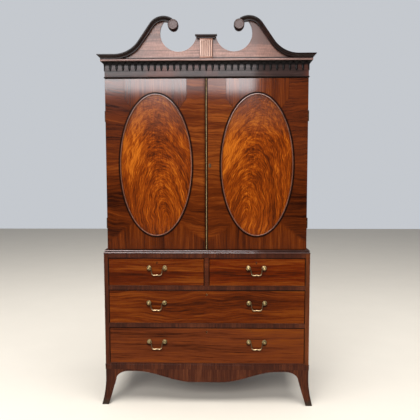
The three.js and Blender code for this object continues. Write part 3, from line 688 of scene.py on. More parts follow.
@dataclass(frozen=True)
class FriezeVeneer(Wood):
    """Frieze veneer with redder patches, a butt joint at the left and a dark astragal below."""

    joint_x: float = -0.585
    astragal_top: float = 2.0115
    pitch: float = 0.0383125
    tip: float = 2.046
    first_x: float = -0.613
    last_x: float = 0.6085
    red: Colour = (0.095, 0.030, 0.020)
    line: Colour = (0.008, 0.004, 0.003)

    def material(self) -> Material:
        """Builds the material: the veneer below the drops, and painted shadow between them and under the
        cove.

        Returns:
            The material.
        """
        graph, tone, pores = self.start()
        x, y, z = graph.place
        patch = graph.noise(x * 3.4 + 0.6, y, z * 4.0, 3.0, 0.5)
        low = 1 - z.smooth(self.astragal_top - 0.001, self.astragal_top + 0.0006)
        # Painted shadow of the drops on the frieze: a V beside each drop, on the front only.
        beside = (x - self.first_x).folded(self.pitch / 2) - (z - self.tip + 0.010) * 0.185
        between = (1 - beside.smooth(0.0, 0.0024)) * z.over(self.tip) * (self.last_x - abs(x)).over(0.0)
        # Painted shadow under the cove and a painted shade line at the drops' tips; the mask darkens the
        # colour and takes off the polish.
        shade_and_seams = between.most(z.smooth(2.071, 2.084)).most(z.near(self.tip, 0.0008, 0.0026) * 0.6) * 0.97
        colour = self.colour(graph, tone)
        for weight, over in (
            (patch.smooth(0.50, 0.62) * 0.75, self.red),
            (x.near(self.joint_x, 0.0006, 0.0026) * 0.7, self.line),
            (low, self.line),
            (shade_and_seams, (0.005, 0.004, 0.004)),
        ):
            colour = graph.mix(weight, colour, over)
        left = z.smooth(2.010, 2.034) * 0.34 - z.smooth(2.046, 2.050) * 0.30
        left = (1 - shade_and_seams) * (1 - low * 0.8) * (left + z.smooth(2.050, 2.084) * 0.45 + 0.80)
        return self.polish(graph, colour, pores, shade_and_seams * 0.3, left)


@dataclass(frozen=True)
class FootTimber(Wood):
    """Foot timber with a dark, worn toe."""

    scuffed: Colour = (0.030, 0.024, 0.018)

    def material(self) -> Material:
        """Builds the material.

        Returns:
            The material.
        """
        graph, tone, pores = self.start()
        x, y, z = graph.place
        scuff = graph.noise(x * 60.0, y * 60.0, z * 40.0, 4.0, 0.65)
        toe = 1 - (z + (scuff - 0.5) * 0.05).smooth(0.004, 0.045)
        colour = graph.mix(toe * 0.8, self.colour(graph, tone), self.scuffed)
        return self.polish(graph, colour, pores, toe * 0.3)


@dataclass(frozen=True)
class DrawerVeneer(Wood):
    """Drawer veneer, with painted shadow below the handles and paler towards the right."""

    handle: Pair = (0.0, 0.0)
    rose: float = 0.048
    bar_half: float = 0.024
    rose_drop: float = 0.013
    bar_drop: float = 0.052
    pale_x: float = 0.30
    pale_over: float = 0.24

    def material(self) -> Material:
        """Builds the material.

        Returns:
            The material.
        """
        graph, tone, pores = self.start()
        x, y, z = graph.place
        streak = graph.noise(x * 5.0, y, z * 150.0 + self.seed, 3.0, 0.6)
        # Painted shadow below each rose and under each bar of the handles.
        from_handle = abs(abs(x) - self.handle[0])
        across = from_handle - self.rose
        below = z - (self.handle[1] - self.rose_drop)
        far = (across * across + below * below).root()
        bar = (from_handle - self.bar_half).most(0.0)
        under = z - (self.handle[1] - self.bar_drop)
        along_bar = (1 - (bar * bar + under * under).root().smooth(0.002, 0.010)) * 0.7
        shade_and_seams = (1 - far.smooth(0.007, 0.022)).most(along_bar)
        pale = x.smooth(self.pale_x, self.pale_x + self.pale_over) * 0.11
        colour = self.colour(graph, tone - streak.smooth(0.50, 0.78) * 0.24 + pale)
        return self.polish(graph, graph.mix(shade_and_seams * 0.8, colour, SHADE_AND_SEAM_DARK), pores)


@dataclass(frozen=True)
class EndGrain(Wood):
    """The turned face of a roundel: growth rings around a pith."""

    centre: Pair = (0.0, 0.0)

    def material(self) -> Material:
        """Builds the material.

        Returns:
            The material.
        """
        graph = Graph.of_material(self.name)
        x, y, z = graph.place
        dx = x - self.centre[0]
        dz = z - self.centre[1]
        bend = graph.noise(x * 40.0, y * 10.0, z * 40.0, 2.0)
        rings = graph.noise((dx * dx + dz * dz).root() * 300.0 + bend * 1.5, 0.0, self.seed, 3.0, 0.6)
        return self.polish(graph, self.colour(graph, (rings - 0.5) * (2.0 * self.contrast) + 0.5), rings)


@dataclass(frozen=True)
class Brass:
    """Aged cast brass: dark patina in patches over a warm, dull metal."""

    name: str
    bright: Colour = (0.64, 0.47, 0.22)
    patina: Colour = (0.075, 0.058, 0.022)
    amount: float = 0.37
    roughness: float = 0.38

    def wear_and_highlight(self, y: Expr, z: Expr) -> Expr:
        """How far use keeps the metal bright at a depth and height."""
        return z.smooth(0.66, 0.84) * 0.35 + 0.65

    def material(self) -> Material:
        """Builds the material.

        Returns:
            The material.
        """
        graph = Graph.of_material(self.name)
        x, y, z = graph.place
        cloud = graph.noise(x * 60.0, y * 60.0, z * 60.0, 4.0, 0.65)
        grit = graph.noise(x * 700.0, y * 700.0, z * 700.0, 2.0)
        mask = (cloud * 0.8 + grit * 0.2).smooth(self.amount, self.amount + 0.26) * self.wear_and_highlight(y, z)
        return graph.finish(
            Base_Color=graph.mix(mask, self.patina, self.bright),
            Roughness=(1 - mask) * 0.25 + self.roughness,
            Normal=graph.bump(grit, 0.00005),
            Metallic=mask * 0.25 + 0.75,
        )


@dataclass(frozen=True)
class BailBrass(Brass):
    """Brass of the bails: painted bright as a highlight along each bar, and dark up its arms."""

    bars: tuple[float, ...] = (0.8162, 0.5982, 0.3532)

    def wear_and_highlight(self, y: Expr, z: Expr) -> Expr:
        """Share of bright metal: a painted highlight along each bar, fading out up the arms."""
        # Painted highlight along each bar.
        return 1 - z.from_nearest(self.bars).smooth(0.0045, 0.0120)


@dataclass(frozen=True)
class StripBrass(Brass):
    """Brass of the meeting bead: bright along its nose and dull inside the joint of the doors."""

    nose_y: float = -0.2572

    def wear_and_highlight(self, y: Expr, z: Expr) -> Expr:
        """How far use keeps the metal bright at a depth and height."""
        return 1 - y.over(self.nose_y)


@dataclass(frozen=True)
class Floor:
    """Plain pale floor."""

    name: str = "pale_floor"
    colour: Colour = (0.70, 0.64, 0.55)
    cloudy: float = 0.94

    def material(self) -> Material:
        """Builds the material.

        Returns:
            The material.
        """
        graph = Graph.of_material(self.name)
        x, y, z = graph.place
        cloud = graph.noise(x * 3.0, y * 3.0, z, 4.0)
        dark = tuple(c * self.cloudy for c in self.colour)
        return graph.finish(Base_Color=graph.mix(cloud, dark, self.colour), Roughness=0.75)


class Palette:
    """Every finish of the press, built once."""

    def __init__(self) -> None:
        """Builds the materials."""
        veneer = ((0.012, 0.003, 0.001), (0.062, 0.012, 0.003), (0.15, 0.036, 0.008))
        self.carcase = Wood("carcase_veneer", *veneer, Axis.Z, seed=2.0).material()
        self.sides = SideVeneer("side_veneer", *veneer, Axis.Z, seed=2.0).material()
        self.cross = Wood("crossband_stile", *veneer, density=1.1, seed=5.0).material()
        self.rail = Wood(
            "crossband_rail", (0.012, 0.003, 0.001), (0.044, 0.010, 0.004), (0.11, 0.028, 0.009), Axis.Z, 1.4
        ).material()
        self.apron = Wood(
            "apron_veneer", (0.014, 0.003, 0.001), (0.050, 0.011, 0.004), (0.12, 0.034, 0.012), Axis.Z, 1.2
        ).material()
        self.foot = FootTimber(
            "foot_timber", (0.008, 0.002, 0.001), (0.036, 0.008, 0.003), (0.12, 0.030, 0.009), Axis.Z, 1.2
        ).material()
        self.moulding = Wood(
            "dark_moulding", (0.003, 0.002, 0.0015), (0.010, 0.0035, 0.0028), (0.030, 0.010, 0.007),
            coat=0.3, roughness=0.45,
        ).material()
        # Near-black carving; on the pear drops the black partly stands for painted shade under the cornice.
        self.drops = Wood(
            "carved_moulding", (0.002, 0.0015, 0.0015), (0.005, 0.004, 0.004), (0.015, 0.011, 0.011),
            coat=0.08, roughness=0.6,
        ).material()
        self.waist = WaistTimber(
            "waist_moulding", (0.03, 0.013, 0.010), (0.150, 0.065, 0.050), (0.22, 0.11, 0.085),
            coat=1.0, index=1.65,
        ).material()
        # Oval rim: its pale tan colour is partly a painted highlight line.
        self.rim = RimTimber(
            "oval_rim", (0.07, 0.024, 0.014), (0.165, 0.064, 0.038), (0.26, 0.11, 0.070), Axis.Z,
            coat=1.0, gloss=0.14, index=2.1,
        ).material()
        # Cock bead: its near-black is partly painted shade in the gaps round the drawers.
        self.edge = CockBeadTimber(
            "cock_bead", (0.002, 0.001, 0.001), (0.005, 0.0015, 0.001), (0.09, 0.027, 0.012),
            contrast=0.25, coat=0.05, seed=3.0,
        ).material()
        self.bead = BeadTimber(
            "cornice_bead", (0.10, 0.055, 0.045), (0.20, 0.115, 0.098), (0.33, 0.21, 0.18),
            wave=0.02, coat=0.5,
        ).material()
        self.faded = FadedBoard(
            "faded_mahogany", (0.095, 0.038, 0.027), (0.220, 0.098, 0.068), (0.34, 0.178, 0.130),
            density=1.5, wave=0.02, contrast=1.2, roughness=0.42, coat=0.15, body=0.5,
        ).material()
        self.flutes = FlutedTimber(
            "fluted_timber", (0.16, 0.068, 0.048), (0.35, 0.175, 0.125), (0.56, 0.36, 0.28), Axis.Z, 1.3,
            roughness=0.42, body=0.5,
        ).material()
        self.frieze = FriezeVeneer(
            "frieze_veneer", (0.014, 0.008, 0.007), (0.034, 0.019, 0.017), (0.07, 0.042, 0.036), coat=0.28
        ).material()
        self.lining = Wood(
            "lining_timber", (0.24, 0.14, 0.065), (0.38, 0.24, 0.12), (0.5, 0.34, 0.19),
            roughness=0.62, coat=0.0,
        ).material()
        self.backing = Wood(
            "back_boards", (0.13, 0.08, 0.045), (0.22, 0.14, 0.08), (0.31, 0.2, 0.12), Axis.Z,
            roughness=0.7, coat=0.0,
        ).material()
        self.brass, self.strip_brass, self.bail_brass, self.dull_brass, self.iron = (
            metal.material()
            for metal in (
                Brass("aged_brass"),
                StripBrass("bead_brass", (0.54, 0.41, 0.21), (0.17, 0.120, 0.058), 0.36, 0.4),
                BailBrass("highlighted_bail_brass", (0.66, 0.47, 0.26), (0.085, 0.055, 0.025), 0.34, 0.28),
                Brass("dull_brass", (0.20, 0.14, 0.07), (0.045, 0.032, 0.018), 0.44, 0.45),
                Brass("dull_iron", (0.13, 0.11, 0.09), (0.05, 0.04, 0.035), 0.4, 0.5),
            )
        )
        self.drawers = [
            DrawerVeneer(
                f"drawer_veneer_{i}", (0.020, 0.0035, 0.0006), tone, (0.17, 0.040, 0.004), density=2.0,
                wave=wave, contrast=contrast, coat=0.05, body=0.015, seed=seed, handle=handle, pale_x=pale,
            ).material()
            for i, (tone, wave, contrast, seed, handle, pale) in enumerate(
                (
                    ((0.078, 0.0100, 0.0007), 0.012, 1.3, 1.0, (0.304, 0.858), -0.28),
                    ((0.094, 0.0112, 0.0005), 0.020, 1.3, 4.0, (0.304, 0.858), 0.26),
                    ((0.096, 0.0155, 0.0016), 0.045, 1.4, 9.0, (0.308, 0.640), 0.30),
                    ((0.110, 0.0230, 0.0056), 0.016, 1.0, 13.0, (0.308, 0.395), 0.16),
                )
            )
        ]
        self.doors = {
            side: DoorVeneer(
                f"door_veneer_{side.label}", (0.016, 0.003, 0.001), (0.092, 0.0165, 0.0022),
                (0.24, 0.060, 0.008), density=1.35, wave=0.03, contrast=0.90, roughness=0.25, body=0.02,
                coat=1.0, gloss=0.08, index=1.6, seed=6.0 + side.value,
                centre=(OVAL_X * side.value, OVAL_Z), fall=0.05 - 0.07 * side.value,
            ).material()
            for side in Side
        }
        self.flames = {
            side: FlameVeneer(
                f"flame_veneer_{side.label}", (0.050, 0.009, 0.0014), (0.180, 0.029, 0.0016),
                (0.42, 0.108, 0.007), roughness=0.24, coat=0.8, gloss=0.12, seed=seed,
                axis_x=axis, lean=lean, glow_x=glow, cloud=cloud,
            ).material()
            for side, seed, axis, lean, glow, cloud in (
                (Side.LEFT, 2.0, -0.252, -0.106, -0.47, (-0.30, 1.60)),
                (Side.RIGHT, 11.0, 0.232, 0.14, 0.13, (0.33, 1.52)),
            )
        }
        self.end_grain = {
            side: EndGrain(
                f"end_grain_{side.label}", (0.050, 0.033, 0.031), (0.100, 0.070, 0.066), (0.17, 0.125, 0.120),
                roughness=0.42, coat=0.2, centre=(side.value * ROUNDEL_X, ROUNDEL_Z),
            ).material()
            for side in Side
        }


# Mesh code
def new_mesh(
    name: str, points: Iterable[Point], faces: Iterable[Sequence[int]], sharp: float = SHARP
) -> Object:
    """Makes an object.

    Args:
        name: Its name.
        points: Vertices in metres.
        faces: Vertex numbers of each face.
        sharp: Angle in degrees above which an edge stays hard.

    Returns:
        The object.
    """
    data = bpy.data.meshes.new(name)
    data.from_pydata([tuple(p) for p in points], [], [tuple(f) for f in faces])
    weld(data, sharp)
    made = bpy.data.objects.new(name, data)
    bpy.context.scene.collection.objects.link(made)
    return made


def weld(data: bpy.types.Mesh, sharp: float) -> None:
    """Welds a mesh, turns its faces out and marks the edges that stay hard.

    Args:
        data: The mesh.
        sharp: Angle in degrees above which an edge stays hard.
    """
    work = bmesh.new()
    work.from_mesh(data)
    bmesh.ops.remove_doubles(work, verts=work.verts, dist=WELD_DISTANCE)
    bmesh.ops.recalc_face_normals(work, faces=work.faces)
    limit = math.radians(sharp)
    for face in work.faces:
        face.smooth = True
    for edge in work.edges:
        edge.smooth = len(edge.link_faces) == 2 and edge.calc_face_angle(0.0) < limit
    work.to_mesh(data)
    work.free()


def skin(rows: int, count: int, start: int = 0, closed: bool = False) -> list[Sequence[int]]:
    """Faces between rings of points.

    Args:
        rows: Number of rings.
        count: Points in each ring.
        start: Number of the first point.
        closed: Whether the last ring joins the first; otherwise the ends are capped.

    Returns:
        Vertex numbers of each face.
    """
    faces: list[Sequence[int]] = []
    for r in range(rows if closed else rows - 1):
        a, b = start + r * count, start + (r + 1) % rows * count
        for i in range(count):
            j = (i + 1) % count
            faces.append((a + i, a + j, b + j, b + i))
    if not closed:
        last = start + (rows - 1) * count
        faces += [range(start, start + count), range(last, last + count)]
    return faces


def loft(name: str, rings: Sequence[Sequence[Point]], closed: bool = False, sharp: float = SHARP) -> Object:
    """Skins rings that hold the same number of points.

    Args:
        name: Name of the object.
        rings: The rings in order.
        closed: Whether the last ring joins the first; otherwise the ends are capped.
        sharp: Angle in degrees above which an edge stays hard.

    Returns:
        The object.
    """
    points = [point for ring in rings for point in ring]
    return new_mesh(name, points, skin(len(rings), len(rings[0]), closed=closed), sharp)


def block(name: str, low: Point, high: Point) -> Object:
    """A board between two corners."""
    (x0, y0, z0), (x1, y1, z1) = low, high
    return loft(name, [[(x0, y0, z), (x1, y0, z), (x1, y1, z), (x0, y1, z)] for z in (z0, z1)])


def ease(made: Object, width: float) -> Object:
    """Bevels the hard edges of an object.

    Args:
        made: The object.
        width: Width of the bevels in metres.

    Returns:
        The same object.
    """
    bevel = made.modifiers.new("eased", "BEVEL")
    bevel.width = width
    bevel.segments = 2
    bevel.limit_method = "ANGLE"
    bevel.angle_limit = math.radians(EASED_ABOVE)
    bevel.harden_normals = True
    return made


def apply(made: Object) -> None:
    """Turns an object's modifiers into its mesh.

    Args:
        made: The object.
    """
    graph = bpy.context.evaluated_depsgraph_get()
    data = bpy.data.meshes.new_from_object(made.evaluated_get(graph))
    made.modifiers.clear()
    made.data = data


def cut(made: Object, *tools: Object) -> None:
    """Cuts tools out of an object and removes the tools.

    Args:
        made: The object.
        tools: Closed meshes to cut with.
    """
    for tool in tools:
        step = made.modifiers.new("cut", "BOOLEAN")
        step.operation = "DIFFERENCE"
        step.solver = "EXACT"
        step.object = tool
    apply(made)
    for tool in tools:
        bpy.data.objects.remove(tool)
    weld(made.data, SHARP)


def wrap(name: str, profile: Sequence[Pair], half: float, face_y: float, sharp: float = 30.0) -> Object:
    """A moulding along both sides and across the front, mitred at the corners.

    Args:
        name: Name of the object.
        profile: Points (outwards from the face, height).
        half: Half the width of the carcase.
        face_y: Where its front face is.
        sharp: Angle in degrees above which an edge stays hard.

    Returns:
        The object.
    """
    rings = [
        [(side * (half + out), BACK if at_back else face_y - out, z) for out, z in profile]
        for side, at_back in ((-1, True), (-1, False), (1, False), (1, True))
    ]
    return loft(name, rings, sharp=sharp)


def turned(
    name: str, profile: Sequence[Pair], centre: Point, count: int, upright: bool = False
) -> Object:
    """A body turned about an axis that points forwards, or a ring turned about an upright one.

    Args:
        name: Name of the object.
        profile: Points (radius, distance along the axis), from the axis and back to it unless it is a ring.
        centre: Where the axis meets distance 0.
        count: Facets round.
        upright: Whether it is a ring about an upright axis.

    Returns:
        The object.
    """
    cx, cy, cz = centre
    turns = [FULL_TURN * i / count for i in range(count)]
    rings = []
    for r, out in profile:
        if upright:
            rings.append([(cx + r * math.cos(t), cy + r * math.sin(t), cz + out) for t in turns])
        else:
            rings.append([(cx + r * math.cos(t), cy - out, cz + r * math.sin(t)) for t in turns])
    return loft(name, rings, closed=upright)


def give(
    made: Object, body: str, material: Material, replaces: Sequence[str] = ()
) -> None:
    """Dresses a piece and gives it to a body.

    Args:
        made: The piece.
        body: CAD body that it rides on.
        material: Its material.
        replaces: CAD nodes that it stands for.
    """
    made.data.materials.clear()
    made.data.materials.append(material)
    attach(made, body)
    if replaces:
        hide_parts(*replaces)
    log.info("piece %s on %s", made.name, body)


def dress(node: str, material: Material) -> None:
    """Gives a CAD node that stays its material.

    Args:
        node: The node's name.
        material: Its material.
    """
    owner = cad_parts[node]
    owner.data.materials.clear()
    owner.data.materials.append(material)
    log.info("CAD node %s dressed", node)


def arc(cx: float, cy: float, rx: float, ry: float, start: float, end: float, steps: int) -> list[Pair]:
    """Points of an elliptical arc.

    Args:
        cx: Centre along the first axis.
        cy: Centre along the second axis.
        rx: Radius along the first axis.
        ry: Radius along the second axis.
        start: First angle in degrees.
        end: Last angle in degrees.
        steps: Number of chords.

    Returns:
        The points.
    """
    turns = [math.radians(start + (end - start) * i / steps) for i in range(steps + 1)]
    return [(cx + rx * math.cos(t), cy + ry * math.sin(t)) for t in turns]


# Sub-assemblies
@dataclass
class Carcase:
    """The boards of both carcases, the waist moulding, the base band, the apron and the feet."""

    palette: Palette
    chest_half: float = 0.630
    press_half: float = 0.610
    chest_bottom: float = 0.219
    chest_top: float = 0.947
    waist_top: float = 0.967
    waist_proud: float = 0.0215
    waist_head: float = 0.0075
    waist_steps: tuple[Pair, ...] = (
        (0.0, 0.0), (0.0, 0.0020), (0.0012, 0.0056), (0.0020, 0.0064), (0.0070, 0.0072), (0.0070, 0.0124),
        (0.0030, 0.0132), (0.0024, 0.0140), (0.0037, 0.0180), (0.0052, 0.0194),
    )
    band_proud: float = 0.003
    band_height: float = 0.032
    band_bead: float = 0.0062
    band_share: float = 0.6
    foot_thickness: float = 0.020
    foot_top_reach: float = 0.158
    foot_shoulder: float = 0.013
    foot_arch_rise: float = 0.206
    foot_arch_radius: float = 0.058
    foot_toe: float = 0.019
    foot_waist: float = 0.062
    foot_splay: float = 0.022
    foot_eased: float = 0.0012
    splay_height: float = 0.165

    def boards(self) -> None:
        """Dresses the boards that stay as CAD nodes."""
        p = self.palette
        for finish, nodes in (
            (p.carcase, "upper_side_left upper_side_right upper_top"),
            (p.sides, "lower_side_left lower_side_right"),
            (p.rail, "lower_top drawer_rail_upper drawer_rail_lower lower_bottom"),
            (p.cross, "short_drawer_divider upper_bottom"),
            (p.apron, "front_apron"),
            (p.backing, "lower_back upper_back"),
            (p.lining, "linen_tray_1 linen_tray_2 linen_tray_3 linen_tray_4"),
            (p.lining, "drawer_box_lower drawer_box_middle drawer_box_short_left drawer_box_short_right"),
            (p.dull_brass, "hinge_low_left hinge_low_right hinge_high_left hinge_high_right"),
        ):
            for node in nodes.split():
                dress(node, finish)

    def waist(self) -> None:
        """Waist moulding: two canted beads with a quirk between them."""
        low, out, top = self.chest_top, self.waist_proud, self.waist_top
        profile = [(0.0, low)] + [(out - inset, low + rise) for inset, rise in self.waist_steps]
        profile += [(out - self.waist_head, top), (0.0, top)]
        made = wrap("waist_beads", profile, self.press_half, PRESS_FRONT)
        give(made, "carcase", self.palette.waist, ["waist_moulding"])

    def band(self) -> None:
        """Base band with a small bead along its top."""
        low, high, out = self.chest_bottom, self.chest_bottom + self.band_height, self.band_proud
        face = out * self.band_share
        profile = [(0.0, low), (face, low), (face, high - self.band_bead)]
        profile += arc(0.0, high - out, out, out, -70, 90, 8)
        made = wrap("base_bead_band", profile, self.chest_half, FRONT)
        give(made, "carcase", self.palette.rail, ["base_band"])

    def reach(self, z: float) -> float:
        """How far a foot's legs reach from the corner.

        Args:
            z: Height.

        Returns:
            The reach in metres.
        """
        if z >= self.foot_arch_rise:
            return self.foot_top_reach
        centre = self.foot_arch_rise - self.foot_arch_radius
        if z <= centre:
            return self.foot_waist + (self.foot_toe - self.foot_waist) * (1 - z / centre)
        rise = (z - centre) / self.foot_arch_radius
        sweep = 1 - math.sqrt(max(0.0, 1 - rise * rise))
        return self.foot_waist + (self.foot_top_reach - self.foot_shoulder - self.foot_waist) * sweep

    def foot(self, side: Side, end: End) -> None:
        """One splayed bracket foot.

        Args:
            side: Left or right.
            end: Front or back; only a front foot splays forwards.
        """
        at_front, inwards = end is End.FRONT, end.value
        edge = FRONT if at_front else BACK
        centre, t = self.foot_arch_rise - self.foot_arch_radius, self.foot_thickness
        levels = [centre * i / 24 for i in range(24)]
        levels += [centre + self.foot_arch_radius * math.sin(math.pi / 2 * i / 20) for i in range(20)]
        levels += [self.foot_arch_rise - THIN_STEP, self.foot_arch_rise, self.chest_bottom]
        rings = []
        for z in levels:
            out = self.foot_splay * max(0.0, 1 - z / self.splay_height) ** 2
            x0, y0 = self.chest_half + out, edge - out * at_front
            x1, y1 = self.chest_half - self.reach(z), edge + self.reach(z) * inwards
            inner = y0 + t * inwards
            flat = [(x0, y0), (x1, y0), (x1, inner), (x0 - t, inner), (x0 - t, y1), (x0, y1)]
            rings.append([(side.value * x, y, z) for x, y in flat])
        made = ease(loft(f"{end.label}_bracket_foot_{side.label}", rings, sharp=40), self.foot_eased)
        give(made, "carcase", self.palette.foot, [f"{end.label}_foot_{side.label}"])

    def build(self) -> None:
        """Builds and dresses everything."""
        self.boards()
        self.waist()
        self.band()
        for side in Side:
            for end in End:
                self.foot(side, end)


@dataclass
class Door:
    """One cupboard door with its oval panel, moulding and knuckles."""

    palette: Palette
    side: Side
    edge: float = 0.6095
    mould_wide: float = 0.010
    mould_proud: float = 0.006
    lip: float = 0.004
    eased: float = 0.0007
    chords: int = 144
    knuckle_radius: float = 0.004
    knuckle_bore: float = 0.0026
    knuckle_eased: float = 0.0004
    knuckle_half: float = 0.0117
    axis_out: float = 0.6145
    axis_behind: float = 0.0005
    hinge_z: Pair = (1.130, 1.780)
    meet_left: float = 0.004
    meet_right: float = 0.0025
    leaf_in: float = 0.004
    leaf_short: float = 0.002
    leaf_thick: float = 0.002
    leaf_eased: float = 0.0003

    @property
    def body(self) -> str:
        """CAD body of the door."""
        return f"{self.side.label}_door"

    @property
    def inner(self) -> float:
        """Where the meeting edge is, measured outwards from the middle."""
        return self.meet_left if self.side is Side.LEFT else self.meet_right

    def oval(self, grow: float, y: float, count: int) -> list[Point]:
        """Points of an oval around the panel.

        Args:
            grow: How far it lies outside the moulding's outer edge.
            y: Its depth.
            count: Number of points.

        Returns:
            The points.
        """
        half_wide, half_tall = OVAL_HALF
        flat = arc(OVAL_X, OVAL_Z, half_wide + grow, half_tall + grow, 0, 360, count)[:-1]
        return [(self.side.value * x, y, z) for x, z in flat]

    def outline(self) -> list[Pair]:
        """Outline of the door.

        Returns:
            As many points as the oval has, in the same directions, with one at each corner.
        """
        flat: list[Pair] = []
        for i in range(self.chords):
            turn = FULL_TURN * i / self.chords
            c, s = math.cos(turn), math.sin(turn)
            wide = (self.edge - OVAL_X) if c > 0 else (OVAL_X - self.inner)
            tall = (DOOR_TOP - OVAL_Z) if s > 0 else (OVAL_Z - DOOR_BOTTOM)
            far = min(wide / max(abs(c), TINY), tall / max(abs(s), TINY))
            flat.append((OVAL_X + c * far, OVAL_Z + s * far))
        for corner in ((x, z) for z in (DOOR_BOTTOM, DOOR_TOP) for x in (self.inner, self.edge)):
            flat[min(range(self.chords), key=lambda i: math.dist(flat[i], corner))] = corner
        return flat

    def frame(self) -> None:
        """Veneered frame with the oval opening."""
        y0, y1 = PRESS_FRONT, PRESS_FRONT + DOOR_THICKNESS
        grow = self.lip - self.mould_wide
        front, rear = ([(self.side.value * x, y, z) for x, z in self.outline()] for y in (y0, y1))
        rings = [self.oval(grow, y0, self.chords), front, rear, self.oval(grow, y1, self.chords)]
        made = ease(loft(f"veneered_frame_{self.side.label}", rings, closed=True), self.eased)
        veneer = self.palette.doors[self.side]
        give(made, self.body, veneer, [f"door_frame_{self.side.label}"])

    def moulding(self) -> None:
        """Oval moulding: a dark outer bead and a lighter inner rim, in shares of its width and height."""
        bead = [(0.0, 0.0), (0.0, 0.22), *arc(0.18, 0.26, 0.17, 0.34, 180, 0, 10), (0.38, 0.20), (0.38, 0.0)]
        rim = [(0.37, 0.0), (0.37, 0.30), (0.40, 0.36), *arc(0.69, 0.40, 0.28, 0.58, 180, 0, 14)]
        rim += [(1.0, 0.25), (1.0, 0.0)]
        for label, section, finish in (("bead", bead, self.palette.drops), ("rim", rim, self.palette.rim)):
            rings = [
                self.oval(-self.mould_wide * across, PRESS_FRONT - self.mould_proud * proud, 160)
                for across, proud in section
            ]
            made = loft(f"oval_{label}_{self.side.label}", rings, closed=True, sharp=32)
            give(made, self.body, finish, [f"oval_moulding_{self.side.label}"])

    def knuckles(self) -> None:
        """Brass knuckles that turn with the door, and the leaves that hold them."""
        r, bore, e, half = self.knuckle_radius, self.knuckle_bore, self.knuckle_eased, self.knuckle_half
        section = [(bore, -half), (r - e, -half), (r, e - half), (r, half - e), (r - e, half), (bore, half)]
        rear = PRESS_FRONT + DOOR_THICKNESS
        reaches = (self.edge - self.leaf_in, self.axis_out - self.leaf_short)
        x0, x1 = sorted(self.side.value * x for x in reaches)
        for place, z in zip(("low", "high"), self.hinge_z):
            name = f"{place}_{self.side.label}"
            axis = (self.side.value * self.axis_out, rear + self.axis_behind, z)
            knuckle = turned(f"door_knuckle_{name}", section, axis, 24, upright=True)
            leaf = block(f"door_leaf_{name}", (x0, rear - self.leaf_thick, z - half), (x1, rear, z + half))
            for made in (knuckle, ease(leaf, self.leaf_eased)):
                give(made, self.body, self.palette.dull_brass)

    def build(self) -> None:
        """Builds and dresses the door."""
        self.frame()
        self.moulding()
        self.knuckles()
        dress(f"oval_panel_{self.side.label}", self.palette.flames[self.side])


@dataclass
class MeetingStile:
    """Brass meeting bead and lock of the right-hand door."""

    palette: Palette
    half: float = 0.0025
    nose: float = 0.003

    def build(self) -> None:
        """Builds the bead with its rounded nose and dresses the lock."""
        rear = PRESS_FRONT + DOOR_THICKNESS
        outline = arc(0.0, PRESS_FRONT, self.half, self.nose, 180, 360, 12)
        outline += [(self.half, rear), (-self.half, rear)]
        made = loft("brass_meeting_bead", [[(x, y, z) for x, y in outline] for z in (DOOR_BOTTOM, DOOR_TOP)])
        give(made, "right_door", self.palette.strip_brass, ["meeting_bead"])
        dress("door_lock", self.palette.dull_brass)


